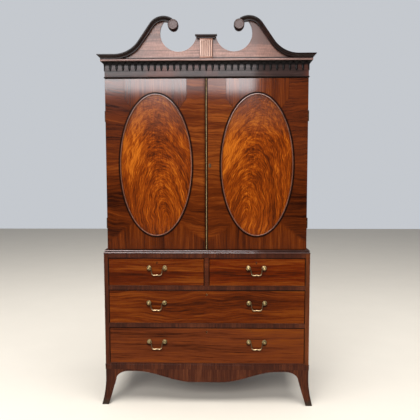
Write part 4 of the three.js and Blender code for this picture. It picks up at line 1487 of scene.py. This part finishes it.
@dataclass
class Handle:
    """A swan-neck bail between two turned posts."""

    palette: Palette
    x: float
    z: float
    drawer: str
    label: str
    half: float = 0.048
    reach: float = 0.017
    drop: float = 0.043
    bar_half: float = 0.024
    end_radius: float = 0.0023
    bar_radius: float = 0.0035
    knob: float = 0.0068
    knob_cap: Pair = (0.0022, 0.0064)
    shoulder_in: float = 0.009
    pin_in: float = 0.0035
    shoulder: tuple[Pair, ...] = ((0.0, 0.0), (0.004, -0.003), (0.006, -0.012))
    arm_drop: float = 0.62
    corner_drop: float = 0.94
    middle_drop: float = 0.95
    rose: tuple[Pair, ...] = (
        (0.0, -0.0005), (0.0143, -0.0005), (0.0145, 0.0006), (0.0143, 0.0014), (0.0136, 0.0017),
        (0.0137, 0.0026), (0.0133, 0.0044), (0.0123, 0.0064), (0.0108, 0.0081), (0.0091, 0.0093),
        (0.0074, 0.0101), (0.0056, 0.0106),
    )

    def posts(self) -> None:
        """Two turned posts on stepped round roses."""
        section = [*self.rose, *arc(0.0, self.reach, self.knob, self.knob, -52, 60, 12)]
        cap_radius, cap_out = self.knob_cap
        section += [(cap_radius, self.reach + cap_out), (0.0, self.reach + self.knob)]
        for letter, end in (("a", -1), ("b", 1)):
            place = (self.x + end * self.half, FRONT, self.z)
            made = turned(f"post_{self.label}_{letter}", section, place, 32)
            give(made, self.drawer, self.palette.brass)

    def bail(self) -> None:
        """The bail: pins in the posts, curled shoulders, and a thickened grip."""
        inner = self.half - self.shoulder_in
        side = [
            (self.half - self.pin_in, 0.0),
            *((inner - inset, rise) for inset, rise in self.shoulder),
            ((inner + self.bar_half) / 2, -self.drop * self.arm_drop),
            (self.bar_half, -self.drop * self.corner_drop),
            (self.bar_half / 2, -self.drop),
        ]
        points = [*side, (0.0, -self.drop * self.middle_drop), *((-x, z) for x, z in reversed(side))]
        path = self.spline([Vector((x, 0.0, z)) for x, z in points], 72)
        rings = []
        for i, at in enumerate(path):
            along = (path[min(len(path) - 1, i + 1)] - path[max(0, i - 1)]).normalized()
            swell = math.sin(math.pi * i / (len(path) - 1)) ** 2
            radius = self.end_radius + (self.bar_radius - self.end_radius) * swell
            x, z = self.x + at.x, self.z + at.z
            round_bar = arc(0.0, FRONT - self.reach, radius, radius, 0, 360, 14)[:-1]
            rings.append([(x - along.z * u, y, z + along.x * u) for u, y in round_bar])
        made = loft(f"grip_{self.label}", rings)
        give(made, f"bail_{self.label}_body", self.palette.bail_brass, [f"bail_{self.label}"])

    @staticmethod
    def spline(points: Sequence[Vector], count: int) -> list[Vector]:
        """Even points along a smooth curve.

        Args:
            points: Points the curve goes through.
            count: Number of points wanted.

        Returns:
            The points.
        """
        fine: list[Vector] = []
        for i in range(len(points) - 1):
            p0, p1, p2 = points[max(0, i - 1)], points[i], points[i + 1]
            p3 = points[min(len(points) - 1, i + 2)]
            bend, twist = 2 * p0 - 5 * p1 + 4 * p2 - p3, 3 * p1 - p0 - 3 * p2 + p3
            for t in (k / 12 for k in range(12)):
                fine.append(0.5 * (2 * p1 + (p2 - p0) * t + bend * t * t + twist * t * t * t))
        fine.append(points[-1])
        lengths = [0.0]
        for a, b in zip(fine, fine[1:]):
            lengths.append(lengths[-1] + (b - a).length)
        even, at = [], 0
        for i in range(count):
            goal = lengths[-1] * i / (count - 1)
            while at < len(lengths) - 2 and lengths[at + 1] < goal:
                at += 1
            span = lengths[at + 1] - lengths[at]
            even.append(fine[at].lerp(fine[at + 1], (goal - lengths[at]) / span))
        return even


@dataclass
class DrawerFront:
    """A veneered drawer front with a cock bead, a keyhole and its handles."""

    palette: Palette
    node: str
    body: str
    veneer: int
    key: Pair
    handles: Sequence[Handle]
    bead_wide: float = 0.003
    bead_proud: float = 0.0025
    key_radius: float = 0.0034
    key_slot: tuple[Pair, ...] = ((0.0021, -0.0095), (0.0014, -0.001))
    drill_ahead: float = 0.02
    drill_behind: float = 0.04
    thread_radius: float = 0.0037
    thread_foot: Pair = (0.0024, -0.0100)
    thread_wide: float = 0.0007
    thread_deep: float = 0.0006
    thread_proud: float = 0.0002

    def board(self) -> None:
        """The board, with the keyhole cut through it."""
        low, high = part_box(self.node)
        inset, (x, z) = self.bead_wide, self.key
        rear = FRONT + DOOR_THICKNESS
        corners = (low.x + inset, FRONT, low.z + inset), (high.x - inset, rear, high.z - inset)
        made = block(f"veneered_{self.node}", *corners)
        r, ahead, behind = self.key_radius, self.drill_ahead, self.drill_behind
        drill = ((0.0, -behind), (r, -behind), (r, ahead), (0.0, ahead))
        hole = turned(f"key_round_{self.node}", drill, (x, FRONT, z), 20)
        y0, y1 = FRONT - ahead, FRONT + behind
        slot = [
            [(x - half, y0, level), (x + half, y0, level), (x + half, y1, level), (x - half, y1, level)]
            for half, level in ((half, z + rise) for half, rise in self.key_slot)
        ]
        cut(made, hole, loft(f"key_slot_{self.node}", slot))
        give(made, self.body, self.palette.drawers[self.veneer], [self.node])

    def bead(self) -> None:
        """Cock bead mitred round the edge."""
        low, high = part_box(self.node)
        half = self.bead_wide / 2
        section = [(0.0, DOOR_THICKNESS), *arc(half, 0.0, half, self.bead_proud, 180, 360, 8)]
        section.append((self.bead_wide, DOOR_THICKNESS))
        left, right, foot, head = (1, low.x), (-1, high.x), (1, low.z), (-1, high.z)
        rings = [
            [(x + sx * inner, FRONT + deep, z + sz * inner) for inner, deep in section]
            for (sx, x), (sz, z) in ((left, foot), (right, foot), (right, head), (left, head))
        ]
        made = loft(f"cock_bead_{self.node}", rings, closed=True)
        give(made, self.body, self.palette.edge)

    def thread(self) -> None:
        """Thin brass thread round the keyhole."""
        r, (foot, low) = self.thread_radius, self.thread_foot
        outline = arc(0.0, 0.0, r, r, -62, 242, 20) + [(-foot, low), (foot, low)]
        wide, deep, face = self.thread_wide, self.thread_deep, -self.thread_proud
        rings = []
        for grow, y in ((0.0, deep), (0.0, face), (wide, face), (wide, deep)):
            ring = []
            for x, z in outline:
                by = 1 + grow / math.hypot(x, z)
                ring.append((self.key[0] + x * by, FRONT + y, self.key[1] + z * by))
            rings.append(ring)
        made = loft(f"key_thread_{self.node}", rings, closed=True)
        metal = self.palette.iron if "short" in self.node else self.palette.strip_brass
        give(made, self.body, metal)

    def build(self) -> None:
        """Builds the board, the bead, the keyhole and the handles."""
        self.board()
        self.bead()
        self.thread()
        for handle in self.handles:
            handle.posts()
            handle.bail()


@dataclass
class Cornice:
    """The loose cornice: frieze, pear-drop arcading and the level mouldings."""

    palette: Palette
    half: float = 0.610
    arcade_top: float = 2.099
    arcade_tip: float = 2.045
    bead_top: float = 2.113
    top: float = 2.116
    crown_top: float = 2.1385
    bead_in: float = 0.018
    bead_out: float = 0.0215
    fillet_out: float = 0.020
    crown_proud: float = 0.038
    crown_foot: Pair = (0.0025, 0.0032)
    wave_foot: float = 0.001
    wave_head: Pair = (0.0062, 0.0055)
    crown_quirk: tuple[Pair, ...] = ((0.0058, 0.0022), (0.0046, 0.0022), (0.0040, 0.0))
    arcade_foot: float = 0.003
    arcade_head: float = 0.015
    cove_height: float = 0.027
    bays: int = 32
    side_bays: int = 15
    arch_half: float = 0.012
    arch_web: float = 0.003
    relief: float = 0.0024
    relief_height: float = 0.042
    corner_half: float = 0.0006
    drop: tuple[Pair, ...] = (
        (0.0, 0.0008), (0.0012, 0.0018), (0.0045, 0.0034), (0.0095, 0.0053), (0.0145, 0.0067),
        (0.0190, 0.0070), (0.0230, 0.0064), (0.0262, 0.0055), (0.0285, 0.0049), (0.0305, 0.0048),
        (0.0335, 0.0053), (0.0365, 0.0064),
    )

    def section(self, steps: int) -> list[Pair]:
        """Section of the raking crown: (height above its underside, outwards).

        Args:
            steps: Chords of its wave.

        Returns:
            The closed outline's points.
        """
        height, proud, fillet = self.crown_top - self.top, self.crown_proud, self.fillet_out
        (foot, wave_low), (head, inset) = self.crown_foot, self.wave_head
        out = [(0.0, 0.0), (0.0, fillet), (foot, fillet)]
        wave_high = height - head
        for share in (i / steps for i in range(steps + 1)):
            swept = share * share * (3 - 2 * share)
            deep = fillet + self.wave_foot + (proud - inset - fillet) * swept
            out.append((wave_low + (wave_high - wave_low) * share, deep))
        out += [(height - down, proud - back) for down, back in self.crown_quirk]
        return out + [(height, proud), (height, 0.0)]

    def mouldings(self) -> None:
        """Bead across the front and round the sides, and the returns of the crown."""
        low, high, fillet = self.arcade_top, self.bead_top, self.fillet_out
        out, half = self.bead_out - self.bead_in, (high - low) / 2
        profile = [(0.0, low), *arc(self.bead_in, low + half, out, half, -90, 90, 14)]
        profile += [(fillet, high), (fillet, self.top), (0.0, self.top)]
        made = wrap("cornice_bead", profile, self.half, PRESS_FRONT)
        give(made, "carcase", self.palette.bead, ["cornice_moulding"])
        for side in Side:
            rings = [
                [
                    (side.value * (self.half + out), BACK if at_back else PRESS_FRONT - out, self.top + high)
                    for high, out in self.section(12)
                ]
                for at_back in (False, True)
            ]
            made = loft(f"crown_return_{side.label}", rings, sharp=30)
            give(made, "carcase", self.palette.moulding)

    def levels(self, pitch: float) -> list[tuple[float, float, float]]:
        """Levels of a pear drop from its tip to the web above the arches.

        Args:
            pitch: Spacing of the drops.

        Returns:
            Height, half width and depth of the coved face at each level.
        """
        radius = self.arch_half
        spring = self.arcade_top - self.arch_web - radius
        shape = [(self.arcade_tip + rise, half) for rise, half in self.drop]
        shape += [(z, pitch / 2 - half) for half, z in arc(0.0, spring, radius, radius, 0, 90, 8)]
        shape += [(spring + radius + THIN_STEP, pitch / 2), (self.arcade_top, pitch / 2)]
        foot = self.arcade_top - self.cove_height
        made = []
        for z, half in shape:
            share = min(1.0, max(0.0, (z - foot) / self.cove_height))
            out = self.arcade_head - (self.arcade_head - self.arcade_foot) * math.sqrt(1 - share**2)
            made.append((z, half, out))
        return made

    def drop_rings(self, pitch: float, middle: float) -> list[list[Point]]:
        """Rings of one carved drop: (along the face, outwards, height).

        Args:
            pitch: Spacing of the drops.
            middle: Where its axis is.

        Returns:
            The rings from the tip upwards.
        """
        rings = []
        for z, half, out in self.levels(pitch):
            relief = self.relief * max(0.0, 1 - (z - self.arcade_tip) / self.relief_height)
            shares = [k / 4 - 1 for k in range(9)]
            face = [(middle + half * share, out + relief * (1 - share * share), z) for share in shares]
            rings.append([(middle - half, 0.0, z), *face, (middle + half, 0.0, z)])
        return rings

    def corner_rings(self, side: Side, pitches: Pair) -> list[list[Point]]:
        """Rings of a corner drop, which has one leg on the front and one on the side.

        Args:
            side: Left or right corner.
            pitches: Spacing of the front's and of the side's drops.

        Returns:
            The rings from the tip upwards.
        """
        rings = []
        foot = self.arcade_foot
        least = foot + self.corner_half
        for (z, front, out), (_, flank, _) in zip(self.levels(pitches[0]), self.levels(pitches[1])):
            x1 = self.half + foot - max(front, least)
            y1 = PRESS_FRONT - foot + max(flank, least)
            x0, y0 = self.half + out, PRESS_FRONT - out
            flat = [(x0, y0), (x1, y0), (x1, PRESS_FRONT)]
            flat += [(self.half, PRESS_FRONT), (self.half, y1), (x0, y1)]
            rings.append([(side.value * x, y, z) for x, y in flat])
        return rings

    def arcade(self) -> None:
        """Pear-drop arcading on the front and both sides."""
        half, face = self.half + self.arcade_foot, PRESS_FRONT - self.arcade_foot
        pitch, side_pitch = 2 * half / self.bays, (BACK - face) / self.side_bays
        stacks = []
        for bay in range(1, self.bays):
            rings = self.drop_rings(pitch, -half + pitch * bay)
            stacks.append([[(u, PRESS_FRONT - out, z) for u, out, z in ring] for ring in rings])
        for side in Side:
            sign = side.value
            stacks.append(self.corner_rings(side, (pitch, side_pitch)))
            for bay in range(1, self.side_bays + 1):
                rings = self.drop_rings(side_pitch, face + side_pitch * bay)
                stacks.append(
                    [[(sign * (self.half + out), min(u, BACK), z) for u, out, z in ring] for ring in rings]
                )
        points: list[Point] = []
        faces: list[Sequence[int]] = []
        for stack in stacks:
            faces += skin(len(stack), len(stack[0]), len(points))
            points += [point for ring in stack for point in ring]
        made = new_mesh("carved_pear_drops", points, faces, 40)
        give(made, "carcase", self.palette.drops, ["pear_drop_arcade"])

    def build(self) -> None:
        """Builds and dresses the cornice."""
        dress("cornice_frame", self.palette.frieze)
        self.mouldings()
        self.arcade()


@dataclass
class Pediment:
    """Swan-neck pediment: board, raking mouldings, roundels, fluted plinth and its cap."""

    palette: Palette
    cornice: Cornice
    start_x: float = 0.545
    hollow: float = 0.1765
    angle: float = 0.962
    straight: float = 0.120
    crest: float = 0.09925
    past: float = 0.56
    roundel_radius: float = 0.031
    roundel_proud: float = 0.044
    roundel_eased: float = 0.001
    drum_middle: float = 0.0045
    face_seat: float = 0.005
    drum_steps: tuple[Pair, ...] = ((0.0, 0.007), (0.0012, 0.005), (0.0032, 0.0045))
    face_steps: tuple[Pair, ...] = (
        (0.0034, 0.005), (0.0034, 0.0016), (0.005, 0.0), (0.0068, 0.0006), (0.0082, 0.0022)
    )
    dish: tuple[Pair, ...] = ((0.012, 0.0026), (0.0, 0.0012))
    cope: Pair = (-0.01, 0.06)
    plinth_half: float = 0.0385
    plinth_thick: float = 0.016
    plinth_top: float = 2.229
    plinth_eased: float = 0.0006
    cap_top: float = 2.251
    cap_half: float = 0.065
    cap_foot: tuple[Pair, ...] = (
        (0.0, 0.0125), (0.04, 0.012), (0.26, 0.012), (0.30, 0.0125), (0.31, 0.0095)
    )
    cap_head: tuple[Pair, ...] = ((0.70, 0.0045), (0.71, 0.0004), (0.73, 0.0), (0.97, 0.0), (1.0, 0.0006))
    cove_rise: Pair = (0.33, 0.66)
    cove_inset: Pair = (0.0047, 0.0045)
    flutes: int = 5
    flute_pitch: float = 0.0123
    flute_radius: float = 0.0042
    flute_depth: float = 0.8
    flute_end: float = 0.011
    flute_tip: tuple[Pair, ...] = ((0.05, 0.0), (0.7, 0.0012), (1.0, 0.0042))

    def path(self) -> list[tuple[float, float, float]]:
        """Top edge of the swan neck, from the level start to the roundel.

        Returns:
            Points (x, z, slope) of the right-hand neck.
        """
        out = []
        low, sine, cosine = self.cornice.crown_top, math.sin(self.angle), math.cos(self.angle)
        for turn in (self.angle * i / 24 for i in range(25)):
            x = self.start_x - self.hollow * math.sin(turn)
            out.append((x, low + self.hollow * (1 - math.cos(turn)), turn))
        x, z, _ = out[-1]
        cx = x - self.straight * cosine - self.crest * sine
        cz = z + self.straight * sine - self.crest * cosine
        for turn in (self.angle - (self.angle + self.past) * i / 40 for i in range(41)):
            out.append((cx + self.crest * math.sin(turn), cz + self.crest * math.cos(turn), turn))
        return out

    def neck(self, side: Side) -> None:
        """Raking moulding, mitred at the corner and coped to the roundel.

        Args:
            side: Left or right.
        """
        sign, section = side.value, self.cornice.section(14)
        half, low, top = self.cornice.half, self.cornice.top, self.cornice.crown_top
        rings = [[(sign * (half + out), PRESS_FRONT - out, low + high) for high, out in section]]
        for x, z, turn in self.path():
            s, c = math.sin(turn), math.cos(turn)
            falls = [(top - low - high, out) for high, out in section]
            rings.append([(sign * (x - fall * s), PRESS_FRONT - out, z - fall * c) for fall, out in falls])
        made = loft(f"raking_moulding_{side.label}", rings, sharp=30)
        r, (behind, ahead) = self.roundel_radius, self.cope
        disc = ((0.0, behind), (r, behind), (r, ahead), (0.0, ahead))
        cut(made, turned("neck_cope", disc, (sign * ROUNDEL_X, PRESS_FRONT, ROUNDEL_Z), 64))
        give(made, "carcase", self.palette.moulding, [f"swan_neck_{side.label}"])

    def roundel(self, side: Side) -> None:
        """Turned roundel with a beaded rim and a dished face.

        Args:
            side: Left or right.
        """
        r, out = self.roundel_radius, self.roundel_proud
        place = (side.value * ROUNDEL_X, PRESS_FRONT, ROUNDEL_Z)
        drum = [(0.0, 0.0), (r - self.roundel_eased, 0.0), (r, self.roundel_eased)]
        drum += [(r - inset, out - deep) for inset, deep in self.drum_steps]
        drum.append((0.0, out - self.drum_middle))
        made = turned(f"roundel_drum_{side.label}", drum, place, 64)
        give(made, "carcase", self.palette.moulding, [f"scroll_roundel_{side.label}"])
        face = [(0.0, out - self.face_seat)]
        face += [(r - inset, out - deep) for inset, deep in self.face_steps]
        face += [(across, out - deep) for across, deep in self.dish]
        made = turned(f"roundel_face_{side.label}", face, place, 64)
        give(made, "carcase", self.palette.end_grain[side])

    def plinth(self) -> None:
        """Fluted plinth block."""
        y0 = PRESS_FRONT - self.plinth_thick
        low, high = self.cornice.top, self.plinth_top
        made = block("fluted_plinth", (-self.plinth_half, y0, low), (self.plinth_half, PRESS_FRONT, high))
        apply(ease(made, self.plinth_eased))
        ends = [(share, low + self.flute_end + inset) for share, inset in self.flute_tip]
        ends += [(share, high - self.flute_end - inset) for share, inset in reversed(self.flute_tip)]
        hollow = arc(0.0, 0.0, self.flute_radius, self.flute_radius * self.flute_depth, 0, 360, 24)[:-1]
        tools = []
        for place in range(self.flutes):
            x = (place - (self.flutes - 1) / 2) * self.flute_pitch
            rings = [[(x + dx * share, y0 + dy * share, z) for dx, dy in hollow] for share, z in ends]
            tools.append(loft(f"flute_{place}", rings))
        cut(made, *tools)
        give(made, "carcase", self.palette.flutes, ["pediment_plinth"])

    def cap(self) -> None:
        """Moulded cap of the plinth: a fillet over a hollow and a bead."""
        low, rise = self.plinth_top, self.cap_top - self.plinth_top
        (start, span), (least, deep) = self.cove_rise, self.cove_inset
        turns = (math.pi / 2 * i / 8 for i in range(9))
        cove = [(start + span * turn / math.pi, least + deep * math.cos(turn)) for turn in turns]
        reach = (self.cap_half - self.plinth_half) / 2
        rings = []
        for share, inset in (*self.cap_foot, *cove, *self.cap_head):
            half, z = self.cap_half - inset, low + rise * share
            y0 = PRESS_FRONT - self.plinth_thick - reach + inset
            rings.append([(-half, PRESS_FRONT, z), (-half, y0, z), (half, y0, z), (half, PRESS_FRONT, z)])
        made = loft("moulded_cap", rings, sharp=32)
        give(made, "carcase", self.palette.moulding, ["plinth_cap"])

    def build(self) -> None:
        """Builds and dresses the pediment."""
        dress("pediment_board", self.palette.faded)
        for side in Side:
            self.neck(side)
            self.roundel(side)
        self.plinth()
        self.cap()


@dataclass
class Studio:
    """Floor, light and the photograph's camera."""

    focal_px: float = 489.99
    image_px: float = 420.0
    pitch: float = 0.07966
    yaw: float = 0.02241
    roll: float = -0.00158
    camera_x: float = 0.08797
    camera_back: float = 2.95722
    camera_z: float = 1.44983
    sensor: float = 36.0
    far: float = 100.0
    floor_half: Pair = (14.0, 9.0)
    surround: Colour = (0.90, 0.94, 1.0)
    glow: tuple[tuple[str, float], ...] = (
        ("From Min", -0.25), ("From Max", 0.45), ("To Min", 0.05), ("To Max", 0.62)
    )
    lamps: tuple[tuple[Any, ...], ...] = (
        ("sky_front", (-2.0, -7.5, 5.0), (-1.5, 0.0, 1.6), (5.8, 3.9), 640.0, (0.97, 0.98, 1.0)),
        ("sky_top", (0.0, -1.4, 6.0), (0.0, -0.8, 0.0), (7.0, 4.0), 560.0, (1.0, 1.0, 1.0)),
    )

    def floor(self) -> None:
        """A wide pale floor."""
        x, y = self.floor_half
        corners = [(-x, -y, 0.0), (x, -y, 0.0), (x, y, 0.0), (-x, y, 0.0)]
        made = new_mesh("studio_floor", corners, [(0, 1, 2, 3)])
        made.data.materials.append(Floor().material())

    def lamp(self, name: str, place: Point, aim: Point, size: Pair, power: float, colour: Colour) -> None:
        """One soft area lamp.

        Args:
            name: Its name.
            place: Where it hangs.
            aim: What it points at.
            size: Width and height.
            power: Power in watts.
            colour: Its tint.
        """
        data = bpy.data.lights.new(name, "AREA")
        data.shape = "RECTANGLE"
        data.size, data.size_y = size
        data.energy = power
        data.color = colour
        made = bpy.data.objects.new(name, data)
        made.location = place
        made.rotation_euler = (Vector(aim) - Vector(place)).to_track_quat("-Z", "Y").to_euler()
        bpy.context.scene.collection.objects.link(made)

    def light(self) -> None:
        """A broad soft panel high in front, a softer one overhead, and a pale surround behind."""
        world = bpy.data.worlds.new("studio_world")
        graph = Graph(world, "ShaderNodeBackground", "ShaderNodeOutputWorld")
        inputs = {"Value": graph.coordinates("Generated")[1], **dict(self.glow)}
        strength = graph.value("ShaderNodeMapRange", {"interpolation_type": "SMOOTHSTEP"}, inputs)
        bpy.context.scene.world = graph.finish(Color=self.surround, Strength=strength)
        for lamp in self.lamps:
            self.lamp(*lamp)

    def camera(self) -> None:
        """The photograph's camera."""
        cp, sp = math.cos(self.pitch), math.sin(self.pitch)
        cy, sy = math.cos(self.yaw), math.sin(self.yaw)
        cr, sr = math.cos(self.roll), math.sin(self.roll)
        ahead = Vector((-sy * cp, cy * cp, -sp))
        right = Vector((cy, sy, 0.0))
        up = right.cross(ahead)
        data = bpy.data.cameras.new("photo_camera")
        data.sensor_width = self.sensor
        data.lens = self.focal_px / self.image_px * data.sensor_width
        data.clip_end = self.far
        made = bpy.data.objects.new("photo_camera", data)
        turn = Matrix((cr * right + sr * up, -sr * right + cr * up, -ahead)).transposed()
        place = Vector((self.camera_x, FRONT - self.camera_back, self.camera_z))
        made.matrix_world = Matrix.Translation(place) @ turn.to_4x4()
        bpy.context.scene.collection.objects.link(made)
        bpy.context.scene.camera = made

    def build(self) -> None:
        """Sets up floor, light and camera."""
        self.floor()
        self.light()
        self.camera()
        bpy.context.scene.view_settings.view_transform = "Standard"
        bpy.context.scene.view_settings.look = "None"


def drawers(palette: Palette) -> list[DrawerFront]:
    """The four drawer fronts with their handles.

    Args:
        palette: The finishes.

    Returns:
        The drawer fronts.
    """
    table = (
        ("short_left", "short_drawer_left", (-0.304, 0.891), 0.858, {"short_left": -0.304}),
        ("short_right", "short_drawer_right", (0.304, 0.891), 0.858, {"short_right": 0.304}),
        ("middle", "middle_drawer", (0.0, 0.694), 0.640, {"middle_left": -0.308, "middle_right": 0.308}),
        ("lower", "lower_drawer", (0.0, 0.458), 0.395, {"lower_left": -0.308, "lower_right": 0.308}),
    )
    made = []
    for veneer, (label, body, key, level, places) in enumerate(table):
        handles = [Handle(palette, x, level, body, name) for name, x in places.items()]
        made.append(DrawerFront(palette, f"drawer_front_{label}", body, veneer, key, handles))
    return made


def main() -> None:
    """Builds the press, the studio and the camera."""
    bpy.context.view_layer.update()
    palette = Palette()
    cornice = Cornice(palette)
    parts: list[Any] = [
        Carcase(palette),
        Door(palette, Side.LEFT),
        Door(palette, Side.RIGHT),
        MeetingStile(palette),
        *drawers(palette),
        cornice,
        Pediment(palette, cornice),
    ]
    for part in parts:
        part.build()
    Studio().build()


if __name__ == "__main__":
    main()
